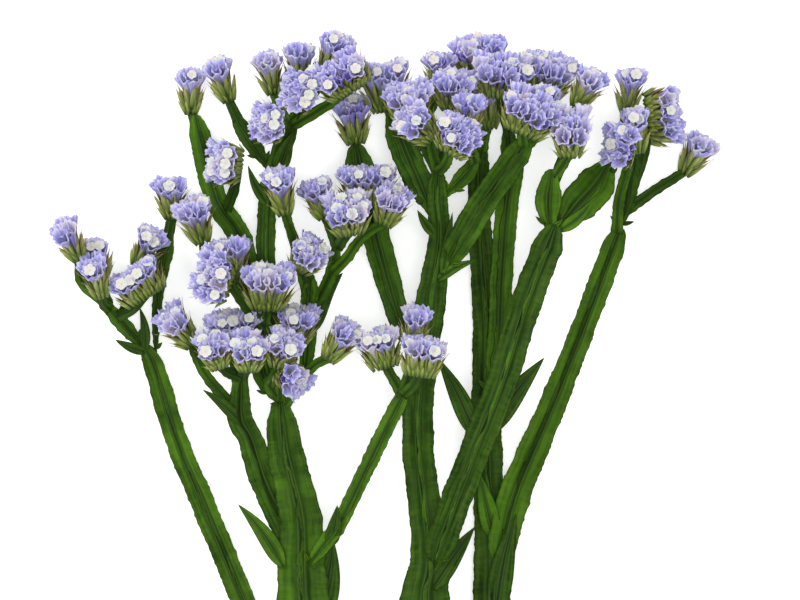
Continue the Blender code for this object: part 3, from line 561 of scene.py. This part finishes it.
def winged_stem(stems, spots, width, columns, draw):
    """A stem with a ribbed core and a thin wavy wing on each side."""
    _, side, up, places = route_frame(spots)
    x, face = both_faces(columns)
    reach = np.zeros((len(spots), len(x)))
    lift = np.zeros_like(reach)
    for sign in (-1, 1):
        mine = np.sign(x) == sign
        edge = 1 + EDGE_DRIFT * drift(draw, places, EDGE_WAVE) + EDGE_TOOTH * toothed(draw, places) / width
        fold = draw.uniform(*WING_FOLD) + WING_WAVE * drift(draw, places, FOLD_WAVE)
        frill = WING_FRILL * drift(draw, places, FRILL_WAVE)
        wave = fold[:, None] * np.abs(x[mine]) ** FOLD_CURVE + frill[:, None] * x[mine] ** FRILL_CURVE
        reach[:, mine] = (edge * width)[:, None] * x[mine] / 2
        lift[:, mine] = width[:, None] * wave
    ridge = np.exp(-(((np.abs(x) - RIDGE_PLACE) / RIDGE_WIDTH) ** 2))
    core = CORE_HEIGHT * np.exp(-((x / CORE_WIDTH) ** 2)) + RIDGE_HEIGHT * ridge
    wrinkle = 1 + WRINKLE_DEPTH * np.outer(drift(draw, places, WRINKLE_WAVE), np.abs(x))
    height = lift + face * (WING_EDGE / 2 + width[:, None] * core * wrinkle)
    grid = spots[:, None] + side[:, None] * reach[..., None] + up[:, None] * height[..., None]
    stems.add(grid[:, ::-1], across=x[::-1], along=places[:, None], tint=draw.random())


def keel(stems, spots, width, draw):
    """The thin wing that stands up along a stem's upper side and leans over."""
    _, side, up, places = route_frame(spots)
    lean = draw.choice((-1, 1)) * draw.uniform(*KEEL_LEAN) + KEEL_SWAY * drift(draw, places, SWAY_WAVE)
    taper = np.minimum(1, np.minimum(places, places[-1] - places) / KEEL_TAPER)
    tall = width * taper * (KEEL_HEIGHT + KEEL_RIPPLE * drift(draw, places, RIPPLE_WAVE))
    tall = tall + KEEL_TOOTH * toothed(draw, places)
    way = up * np.cos(lean)[:, None] + side * np.sin(lean)[:, None]
    square = up * -np.sin(lean)[:, None] + side * np.cos(lean)[:, None]
    base = spots + up * (width * CORE_HEIGHT * KEEL_SEAT)[:, None]
    base += side * (draw.choice((-1, 1)) * RIDGE_PLACE / 2 * width)[:, None]
    rows = []
    for share, thick in KEEL_LEVELS:
        centre = base + way * (tall * share)[:, None] + square * (share**2 * tall * KEEL_CURL)[:, None]
        rows.append((centre - square * thick, centre + square * thick))
    ring = [rows[0][1], rows[1][1], rows[2][1], rows[2][0], rows[1][0], rows[0][0]]
    stems.add(np.stack(ring, axis=1), across=KEEL_ACROSS, along=places[:, None], tint=draw.random())


def leaf(stems, base, tip, width, draw):
    """A pointed leaf, folded a little along its rib and arched."""
    base, tip = np.array(base, float), np.array(tip, float)
    length = np.linalg.norm(tip - base)
    share = np.linspace(0, 1, max(FEWEST_ROWS, round(length / LEAF_STEP)))
    bow = unit(np.cross(tip - base, UP)) * draw.uniform(-LEAF_BOW, LEAF_BOW) * length
    spots = base + (tip - base) * share[:, None] + bow * np.sin(share * math.pi)[:, None]
    spots += UP * (np.sin(share * math.pi) * width * LEAF_ARCH)[:, None]
    _, side, up, places = route_frame(spots)
    lens = np.sin(share**LEAF_SWELL * math.pi) ** LEAF_FULLNESS
    spread = width / 2 * np.maximum(lens, LEAF_FOOT * (1 - share) ** 3) + LEAF_TIP
    x, face = both_faces(LEAF_ACROSS)
    rib = LEAF_RIB * np.exp(-((x / LEAF_RIB_WIDTH) ** 2))
    fold = LEAF_FOLD * np.abs(x) + LEAF_CRINKLE * np.outer(drift(draw, places, CRINKLE_WAVE), x)
    reach = spread[:, None] * x
    height = spread[:, None] * fold + face * (LEAF_EDGE + spread[:, None] * rib)
    grid = spots[:, None] + side[:, None] * reach[..., None] + up[:, None] * height[..., None]
    stems.add(grid[:, ::-1], across=x[::-1], along=places[:, None], tint=draw.random())


def hooks(stems, spots, width, draw):
    """The small pointed leaves that clasp a branch where it leaves its stem."""
    along, side, up, _ = route_frame(spots)
    for sign in (-1, 1):
        place = min(len(spots) - 2, draw.randint(*HOOK_PLACES))
        base = spots[place] + side[place] * sign * width[place] / 3 + up[place]
        way = unit(along[place] * draw.uniform(*HOOK_AHEAD) + side[place] * sign + up[place] * HOOK_RISE)
        leaf(stems, base, base + way * draw.uniform(*HOOK_REACH), HOOK_WIDTH, draw)


def head_axes(facing, lean):
    """A head's directions: along its foot, towards its upper side, and the way its flowers face."""
    turn, tilt = math.radians(facing), math.radians(lean)
    way = np.array((math.cos(turn), math.sin(turn), 0))
    axis = way * math.cos(tilt) + UP * math.sin(tilt)
    along = np.cross(UP, way)
    return along, np.cross(axis, along), axis


def bent_axis(root, axes, lean, height, rise):
    """The middle of a calyx at the given heights, and which way it points there."""
    along, front, axis = axes
    out = along * lean[0] + front * lean[1]
    rise = np.asarray(rise, float)[..., None]
    centre = root + height * (rise * axis + (FIRST_BEND * rise + SECOND_BEND * rise**2) * out)
    return centre, unit(axis + (FIRST_BEND + 2 * SECOND_BEND * rise) * out)


def calyx(paper, root, axes, lean, height, mouth, openness, draw):
    """A pleated papery funnel, curved outwards, with a frilled rim of five lobes."""
    rise = np.array(OUTER_RISE + INNER_RISE)
    flare = np.array(OUTER_FLARE + INNER_FLARE)
    inside = np.array([0] * len(OUTER_RISE) + [1] * len(INNER_RISE))
    centre, way = bent_axis(root, axes, lean, height, rise)
    along = axes[0]
    first = unit(along - way * (way @ along)[:, None])
    second = np.cross(way, first)
    angle = np.linspace(0, 2 * math.pi, CALYX_COLUMNS, endpoint=False)
    east, north = np.cos(angle), np.sin(angle)
    turn = draw.uniform(0, 2 * math.pi)
    lobes = np.cos(LOBES * angle + turn)
    beat, beats = PLEAT_BEAT
    pleats = np.cos(2 * LOBES * angle + turn) + beat * np.cos(beats * angle + phase(draw))
    crumple = sum(size * np.sin(count * angle + phase(draw)) for size, count in CRUMPLE_WAVES)
    edge = flare**2
    radius = TUBE + (mouth - TUBE) * flare
    outline = 1 + np.outer(edge, LOBE_REACH * lobes + CRUMPLE * crumple) + np.outer(flare, PLEAT * pleats)
    reach = radius[:, None] * outline - PAPER * inside[:, None]
    frill = RIM_FRILL * np.sin(2 * LOBES * angle + turn + FRILL_LAG)
    shift = np.outer(edge, frill - RIM_RISE * lobes + RIM_RISE * crumple)
    ring = first[:, None] * (east * SQUASH)[:, None] + second[:, None] * north[:, None]
    points = centre[:, None] + ring * reach[..., None] + way[:, None] * shift[..., None]
    paper.add(
        points, rise=rise[:, None], fold=pleats, east=east, north=north,
        tint=draw.random(), inside=inside[:, None], bud=1 - openness,
    )


def corolla(whites, centre, way, radius, draw):
    """A small cupped flower of five notched petals on a short tube."""
    angle = np.linspace(0, 2 * math.pi, COROLLA_COLUMNS, endpoint=False)
    aside = (0.3, 0.2, 1.0) if abs(way[2]) < NEARLY_UPRIGHT else (1.0, 0.0, 0.0)
    first = unit(np.cross(way, aside))
    second = np.cross(way, first)
    petal = np.abs(np.cos(PETALS / 2 * angle + draw.uniform(0, 3)))
    notch = PETAL_GAP + PETAL_LENGTH * petal**0.5 - PETAL_NOTCH * petal**14
    share = np.array(COROLLA_FACE + COROLLA_BACK)
    under = np.array([0] * len(COROLLA_FACE) + [1] * len(COROLLA_BACK))
    cup = COROLLA_CUP * share**CUP_CURVE * radius - COROLLA_DROOP * share**DROOP_CURVE
    cup[-1] -= COROLLA_TUBE
    reach = radius * share[:, None] * (1 + share[:, None] ** 2 * (notch - 1))
    ring = first * np.cos(angle)[:, None] + second * np.sin(angle)[:, None]
    wave = PETAL_WAVE * radius * np.outer(share**2, np.cos(PETALS * angle + phase(draw)))
    wave += PETAL_CRINKLE * radius * np.outer(share**3, np.cos(2 * PETALS * angle + phase(draw)))
    height = cup[:, None] + wave - under[:, None] * PETAL_PAPER
    points = centre + ring[None] * reach[..., None] + way * height[..., None]
    whites.add(points[::-1], rise=share[::-1, None], tint=draw.random())


def bract(combs, root, tip, out, draw):
    """A keeled, pointed bract that ends in a fine spine."""
    width = BRACT_WIDTH * draw.uniform(*BRACT_SCATTER)
    share = np.array(BRACT_RISE)
    spread = width / 2 * np.array(BRACT_OUTLINE)
    length = np.linalg.norm(tip - root)
    way = (tip - root) / length
    side = unit(np.cross(out, way))
    out = np.cross(way, side)
    x = np.array((-1, 0, 1, 0))
    face = np.array((0, 1, 0, -1))
    curl = draw.uniform(*BRACT_CURL) * length
    centre = root + (tip - root) * share[:, None] + out * (curl * share**CURL_CURVE)[:, None]
    height = spread[:, None] * (BRACT_KEEL * (1 - np.abs(x)) - BRACT_SINK)
    height = height + face * BRACT_THICKNESS * (1 - share[:, None] ** 3)
    points = centre[:, None] + side * (spread[:, None] * x)[..., None] + out * height[..., None]
    combs.add(points[:, ::-1], rise=share[:, None], across=x[::-1], tint=draw.random())


def bristle(combs, root, way, draw):
    """A fine three-sided hair."""
    share = np.array(BRISTLE_RISE)
    radius = BRISTLE_RADIUS * np.array(BRISTLE_TAPER)
    first = unit(np.cross(way, (0.31, 0.52, 0.8)))
    second = np.cross(way, first)
    centre = root + way * (share * draw.uniform(*BRISTLE_LENGTH))[:, None]
    angle = np.arange(BRISTLE_SIDES) * 2 * math.pi / BRISTLE_SIDES
    ring = first * np.cos(angle)[:, None] + second * np.sin(angle)[:, None]
    points = centre[:, None] + ring[None] * radius[:, None, None]
    combs.add(points, rise=0.5 + share[:, None] / 2, across=0, tint=draw.random())


def comb(combs, foot, axes, height, foot_length, splay, draw):
    """The bracts round a head's foot in tiers, the outermost the shortest."""
    along, front, axis = axes
    half = foot_length / 2 + FOOT_MARGIN
    for tier, (share, outwards) in enumerate(BRACT_TIERS):
        count = max(FEWEST_BRACTS, round((foot_length + FOOT_ROOM) / BRACT_PITCH) - tier)
        for sign in (1, -1):
            for i in range(count):
                place = (i + draw.uniform(*BRACT_PLACES)) / count * 2 - 1
                round_end = math.sqrt(max(0.0, 1 - place**2))
                root = foot + along * place * half
                root = root + front * sign * (ROOT_SPREAD[0] + ROOT_SPREAD[1] * round_end)
                root = root - axis * (ROOT_DEPTH - TIER_STEP * tier)
                tall = height * share * draw.uniform(*TIER_HEIGHT)
                reach = place * (half + splay * tall * TIER_SPLAY + TIER_REACH)
                spread = outwards * (TIP_SPREAD[0] + TIP_SPREAD[1] * round_end)
                tip = foot + along * reach + front * sign * spread + axis * tall
                out = unit(along * place + front * sign * (TIER_FACING + round_end))
                bract(combs, root, tip, out, draw)


def bristles(combs, foot, axes, height, foot_length, splay, draw):
    """The fine hairs that stand out among the bracts round a head's foot."""
    along, front, axis = axes
    for _ in range(BRISTLES):
        place = draw.uniform(-1, 1)
        sign = draw.choice((-1, 1))
        round_end = math.sqrt(1 - place**2)
        tall = height * draw.uniform(*BRISTLE_HEIGHT)
        out = along * place * BRISTLE_ALONG + front * sign * (BRISTLE_FACING + round_end)
        out = unit(out + axis * draw.uniform(*BRISTLE_AHEAD))
        half = foot_length / 2 + splay * tall + BRISTLE_MARGIN
        root = foot + along * place * half + front * sign * round_end * BRISTLE_ROOT + axis * tall
        bristle(combs, root, out, draw)


def calyx_bracts(combs, root, axes, lean, height, draw):
    """The bracts that clasp one calyx's tube."""
    along, front, _ = axes
    (low, high), _ = bent_axis(root, axes, lean, height, CLASP)
    start = draw.uniform(-CLASP_TURN, CLASP_TURN) + math.pi / 2
    for i in range(CALYX_BRACTS):
        angle = start + 2 * math.pi * i / CALYX_BRACTS
        out = along * math.cos(angle) + front * math.sin(angle)
        reach = draw.uniform(*BRACT_REACH) / CLASP[1]
        tip = low + (high - low) * reach + out * BRACT_ROOM * draw.uniform(*CLASP_SCATTER)
        bract(combs, low + out * CLASP_ROOT, tip, out, draw)


def row_leans(lean):
    """How far each row of a head's calyces leans towards its upper side, from the lowest row."""
    tilt = math.sin(math.radians(lean))
    first = -BACK_LEAN - BACK_TILT * tilt
    last = FRONT_LEAN * (1 - FRONT_TILT * tilt)
    return np.linspace(first, last, round((last - first) / ROW_PITCH) + 1)


def flower_head(name, spec, skins, combs, whites):
    """One head's calyces as a piece, its corollas and bracts added to theirs."""
    (facing, lean), (height, width, foot_length), route = spec
    draw = random.Random(name)
    axes = head_axes(facing, lean)
    along, front, _ = axes
    foot = np.array(route[-1], float)
    across = max(2, round(width / CALYX_PITCH))
    mouth = min(MOUTH, MOUTH_SHARE * width / across + MOUTH_OVERLAP)
    splay = min(max((width / 2 - mouth * SQUASH - foot_length / 2) / height, 0), WIDEST_SPLAY)
    paper = Sheaf("rise", "fold", "east", "north", "tint", "inside", "bud")
    for row, row_lean in enumerate(row_leans(lean)):
        count = across - row % 2
        for i in range(count):
            share = (i - (count - 1) / 2) / max(1, across - 1) * 2
            lean_across = share * splay + draw.uniform(-ACROSS_SCATTER, ACROSS_SCATTER)
            lean_front = row_lean + draw.uniform(-FRONT_SCATTER, FRONT_SCATTER)
            lean_both = (lean_across, lean_front)
            root = foot + along * share * foot_length / 2 + front * row_lean * ROW_ROOTS
            openness = 1.0 if draw.random() > BUD_SHARE else draw.uniform(*BUD_OPENNESS)
            tall = height * draw.uniform(*CALYX_HEIGHT) * (BUD_HEIGHT[0] + BUD_HEIGHT[1] * openness)
            tall = tall * (1 - ROW_DROP * row_lean**2)
            calyx(paper, root, axes, lean_both, tall, mouth * openness, openness, draw)
            calyx_bracts(combs, root, axes, lean_both, tall, draw)
            if openness == 1 and draw.random() < np.interp(row_lean, FLOWERING_LEANS, FLOWERING):
                centre, way = bent_axis(root, axes, lean_both, tall, COROLLA_RISE)
                turned = unit(way + UP * draw.uniform(*COROLLA_TILT))
                radius = COROLLA_RADIUS * draw.uniform(*COROLLA_SCATTER)
                corolla(whites, centre + UP * COROLLA_LIFT, turned, radius, draw)
    comb(combs, foot, axes, height, foot_length, splay, draw)
    bristles(combs, foot, axes, height, foot_length, splay, draw)
    paper.made(f"{name}_calyces", skins["paper"], "lavender", name)


class Graph:
    """The nodes of one material, built from the shader backwards."""

    def __init__(self, name):
        self.skin = bpy.data.materials.new(name)
        self.skin.use_nodes = True
        self.tree = self.skin.node_tree
        self.shader = self.tree.nodes["Principled BSDF"]

    def plug(self, socket, value):
        """Joins a socket to another node's value, or sets it to a plain one."""
        if isinstance(value, bpy.types.NodeSocket):
            self.tree.links.new(value, socket)
        else:
            socket.default_value = value

    def node(self, kind, settings=None, **inputs):
        """A node with its settings and the values of its named inputs."""
        made = self.tree.nodes.new(kind)
        for key, value in (settings or {}).items():
            setattr(made, key, value)
        for key, value in inputs.items():
            self.plug(made.inputs[key], value)
        return made

    def value(self, name):
        """A value that the mesh carries at each point."""
        return self.node("ShaderNodeAttribute", {"attribute_name": name}).outputs["Fac"]

    def maths(self, operation, *values):
        made = self.node("ShaderNodeMath", {"operation": operation})
        for socket, value in zip(made.inputs, values):
            self.plug(socket, value)
        return made.outputs[0]

    def times(self, first, second):
        return self.maths("MULTIPLY", first, second)

    def ramp(self, factor, *stops):
        """A colour that runs through the given stops, each a place and a colour."""
        made = self.node("ShaderNodeValToRGB", Fac=factor)
        elements = made.color_ramp.elements
        while len(elements) < len(stops):
            elements.new(0.5)
        for element, (place, shade) in zip(elements, stops):
            element.position = place
            element.color = shade
        return made.outputs["Color"]

    def fade(self, factor, *stops):
        """A share that runs through the given stops, each a place and a share."""
        return self.ramp(factor, *((place, (share, share, share, 1)) for place, share in stops))

    def mix(self, factor, first, second):
        """A colour that goes from the first to the second as the factor goes from 0 to 1."""
        made = self.node("ShaderNodeMix", {"data_type": "RGBA"})
        for place, value in ((0, factor), (6, first), (7, second)):
            self.plug(made.inputs[place], value)
        return made.outputs[2]

    def noise(self, scale, detail, vector=None):
        """Smooth noise, fixed to the piece unless a vector says where it is read."""
        if vector is None:
            vector = self.node("ShaderNodeTexCoord").outputs["Object"]
        return self.node("ShaderNodeTexNoise", Scale=scale, Detail=detail, Vector=vector).outputs["Fac"]

    def fibres(self, detail, *places):
        """Noise that follows three values at the surface's points, so that it runs along the piece."""
        vector = self.node("ShaderNodeCombineXYZ", **dict(zip("XYZ", places))).outputs[0]
        return self.noise(1.0, detail, vector)

    def bump(self, height, strength, distance):
        made = self.node("ShaderNodeBump", Height=height, Strength=strength, Distance=distance)
        self.plug(self.shader.inputs["Normal"], made.outputs["Normal"])

    def finish(self, base, roughness, **constants):
        """The finished material, with the shader's other inputs by name."""
        self.plug(self.shader.inputs["Base Color"], base)
        self.plug(self.shader.inputs["Roughness"], roughness)
        for name, value in constants.items():
            self.shader.inputs[name.replace("_", " ")].default_value = value
        return self.skin


def stem_skin():
    """Green with veins along the stem, painted shade and light on the wrinkles across its wings, a painted
    shaded groove with a painted sheen beside it along the middle, and darker edges.
    """
    graph = Graph("stem_green")
    across = graph.value("across")
    along = graph.value("along")
    tint = graph.value("tint")
    edge = graph.maths("ABSOLUTE", across)
    veins = graph.fibres(4.0, graph.times(across, 4.5), graph.times(along, 0.05), tint)
    wrinkles = graph.fibres(4.0, graph.times(across, 1.2), graph.times(along, 0.55), tint)
    patches = graph.noise(70.0, 3.0)
    mood = graph.maths("MULTIPLY_ADD", patches, 0.7, graph.times(tint, 0.35))
    base = graph.ramp(
        mood, (0.25, colour(12, 38, 0)), (0.5, colour(28, 62, 2)), (0.72, colour(72, 116, 12))
    )
    streaks = graph.ramp(veins, (0.35, colour(10, 30, 0)), (0.68, colour(92, 122, 44)))
    base = graph.mix(0.34, base, streaks)
    # painted shade and light: darker in the wrinkles' hollows and lighter on their crests, more so towards
    # the wing edges
    wrinkle_shade_and_light = graph.ramp(wrinkles, (0.4, colour(26, 58, 0)), (0.68, colour(92, 132, 20)))
    base = graph.mix(graph.times(edge, 0.22), base, wrinkle_shade_and_light)
    # painted shade: a dark band along the middle where a groove would lie, with a pale painted sheen line
    # on the ridges beside it
    core_shade_and_sheen = graph.ramp(
        edge,
        (0.0, colour(16, 32, 4)),
        (0.08, colour(18, 36, 4)),
        (0.14, colour(62, 86, 36)),
        (0.2, colour(34, 58, 10)),
        (0.3, colour(28, 60, 2)),
    )
    core = graph.fade(edge, (0.2, 0.75), (0.34, 0))
    base = graph.mix(core, base, core_shade_and_sheen)
    margin = graph.fade(edge, (0.9, 0), (1.0, 1))
    base = graph.mix(graph.times(margin, 0.7), base, colour(26, 40, 8))
    graph.bump(graph.maths("ADD", veins, wrinkles), 0.5, 0.0005)
    return graph.finish(base, graph.maths("MULTIPLY_ADD", wrinkles, 0.2, 0.5), Specular_IOR_Level=0.09)


def paper_skin():
    """Thin lavender paper, green at its foot, with painted shade in the hollows of its pleats, and paler
    at its rim.
    """
    graph = Graph("calyx_paper")
    rise = graph.value("rise")
    fold = graph.value("fold")
    tint = graph.value("tint")
    base = graph.ramp(
        rise,
        (0.0, colour(96, 116, 34)),
        (0.5, colour(122, 124, 58)),
        (0.64, colour(150, 140, 156)),
        (0.76, colour(158, 155, 198)),
        (0.88, colour(166, 162, 208)),
        (1.0, colour(192, 189, 215)),
    )
    round_about = [graph.times(graph.value(name), 3.4) for name in ("east", "north")]
    streaks = graph.fibres(4.0, *round_about, graph.maths("MULTIPLY_ADD", tint, 40.0, rise))
    mottle = graph.noise(520.0, 4.0)
    # painted shade: a deeper blue-violet in the hollows of the pleats, stronger higher up the calyx
    pleat_shade = graph.times(graph.fade(fold, (0.0, 1), (0.6, 0)), rise)
    base = graph.mix(graph.times(pleat_shade, 0.4), base, colour(122, 120, 204))
    base = graph.mix(graph.fade(mottle, (0.45, 0), (0.7, 0.4)), base, colour(128, 126, 208))
    base = graph.mix(graph.fade(streaks, (0.5, 0), (0.66, 0.75)), base, colour(202, 199, 214))
    dark = graph.times(graph.fade(streaks, (0.34, 0.8), (0.48, 0)), rise)
    base = graph.mix(dark, base, colour(128, 122, 196))
    throat = graph.times(graph.value("inside"), graph.fade(rise, (0.4, 1), (0.75, 0)))
    base = graph.mix(graph.times(throat, 0.8), base, colour(116, 102, 56))
    base = graph.mix(graph.fade(tint, (0.72, 0), (0.95, 0.7)), base, colour(202, 194, 200))
    base = graph.mix(graph.times(graph.value("bud"), 1.2), base, colour(108, 92, 190))
    graph.bump(graph.maths("ADD", mottle, streaks), 0.5, 0.0004)
    return graph.finish(
        base, 0.75, Subsurface_Weight=0.4, Subsurface_Radius=(0.6, 0.6, 0.8), Subsurface_Scale=0.002,
        Specular_IOR_Level=0.15,
    )


def corolla_skin():
    """White petals with a faint warm centre."""
    graph = Graph("corolla_white")
    rise = graph.value("rise")
    base = graph.ramp(
        rise, (0.08, colour(188, 178, 152)), (0.22, colour(202, 198, 188)), (1.0, colour(208, 205, 199))
    )
    veins = graph.noise(900.0, 2.0)
    base = graph.mix(graph.fade(veins, (0.4, 0), (0.75, 0.3)), base, colour(180, 176, 188))
    graph.bump(veins, 0.3, 0.0002)
    return graph.finish(base, 0.6, Subsurface_Weight=0.3, Subsurface_Scale=0.001)


def bract_skin():
    """Yellow-green bracts with thin pale margins and reddish-brown points."""
    graph = Graph("bract_green")
    rise = graph.value("rise")
    across = graph.maths("ABSOLUTE", graph.value("across"))
    tint = graph.value("tint")
    base = graph.ramp(
        rise,
        (0.0, colour(64, 92, 16)),
        (0.4, colour(118, 138, 36)),
        (0.75, colour(160, 166, 84)),
        (1.0, colour(164, 136, 96)),
    )
    fibres = graph.fibres(3.0, graph.times(across, 5.0), rise, graph.times(tint, 40.0))
    base = graph.mix(graph.fade(fibres, (0.4, 0), (0.7, 0.4)), base, colour(72, 104, 26))
    margin = graph.fade(across, (0.6, 0), (1.0, 1))
    base = graph.mix(graph.times(margin, 0.75), base, colour(196, 194, 146))
    graph.bump(fibres, 0.4, 0.0003)
    return graph.finish(base, 0.55, Subsurface_Weight=0.1, Subsurface_Scale=0.001)


def floor_skin():
    """Almost white, with a glow of its own that keeps the shadows faint."""
    graph = Graph("floor")
    grain = graph.noise(60.0, 2.0)
    base = graph.ramp(grain, (0.3, colour(246, 246, 246)), (0.7, colour(250, 250, 250)))
    return graph.finish(
        base, 0.9, Specular_IOR_Level=0.1, Emission_Color=(1, 1, 1, 1), Emission_Strength=FLOOR_GLOW
    )


def studio():
    """A pale floor, a soft even sky and two square lamps, one from the upper left and one overhead."""
    bpy.ops.mesh.primitive_plane_add(size=FLOOR_SIZE, location=(0, 0, -FLOOR_DROP * MILLIMETRE))
    floor = bpy.context.object
    floor.name = "floor"
    floor.data.materials.append(floor_skin())
    world = bpy.data.worlds.new("studio")
    world.use_nodes = True
    world.node_tree.nodes["Background"].inputs["Color"].default_value = (1, 1, 1, 1)
    world.node_tree.nodes["Background"].inputs["Strength"].default_value = SKY
    bpy.context.scene.world = world
    for name, place, size, power in LAMPS:
        data = bpy.data.lights.new(name, "AREA")
        data.shape = "SQUARE"
        data.size = size
        data.energy = power
        lamp = bpy.data.objects.new(name, data)
        lamp.location = place
        lamp.rotation_euler = (-Vector(place)).to_track_quat("-Z", "Y").to_euler()
        bpy.context.scene.collection.objects.link(lamp)


def camera():
    """Straight down on the spray, with the cut ends at the lower edge of the picture."""
    data = bpy.data.cameras.new("camera")
    data.sensor_width = SENSOR
    data.lens = SENSOR * (CAMERA_HEIGHT - VIEW_LEVEL) / VIEW_WIDTH
    data.clip_end = FARTHEST_SEEN
    eye = bpy.data.objects.new("camera", data)
    eye.location = Vector((*AIM, CAMERA_HEIGHT)) * MILLIMETRE - Vector(REST_SPOT) * MILLIMETRE
    bpy.context.scene.collection.objects.link(eye)
    bpy.context.scene.camera = eye


def main():
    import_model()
    bpy.context.scene.view_settings.view_transform = "Standard"
    skins = {"stem": stem_skin(), "paper": paper_skin(), "white": corolla_skin(), "bract": bract_skin()}
    stems = Sheaf("across", "along", "tint")
    keels = Sheaf("across", "along", "tint")
    for name, points in STEMS.items():
        draw = random.Random(name)
        spots, width = grown_route(points, name != "trunk")
        winged_stem(stems, spots, width, ACROSS, draw)
        keel(keels, spots[::2], width[::2], draw)
        if name != "trunk":
            hooks(keels, spots, width, draw)
    for i, (base, tip, width) in enumerate(LEAVES):
        leaf(keels, base, tip, width, random.Random(f"leaf_{i}"))
    combs = Sheaf("rise", "across", "tint")
    whites = Sheaf("rise", "tint")
    for name, spec in HEADS.items():
        flower_head(name, spec, skins, combs, whites)
        route = spec[2]
        widths = np.linspace(*STALK_WIDTHS, len(route))
        points = [(*spot, width) for spot, width in zip(route, widths)]
        winged_stem(keels, *smooth_route(points, STALK_STEP), STALK_ACROSS, random.Random(name))
    stems.made("stem_wings", skins["stem"], "green", "stems")
    keels.made("stem_keels_and_leaves", skins["stem"], "green", "stems")
    combs.made("bracts", skins["bract"], "green", "stems")
    whites.made("corollas", skins["white"], "white")
    studio()
    camera()


main()
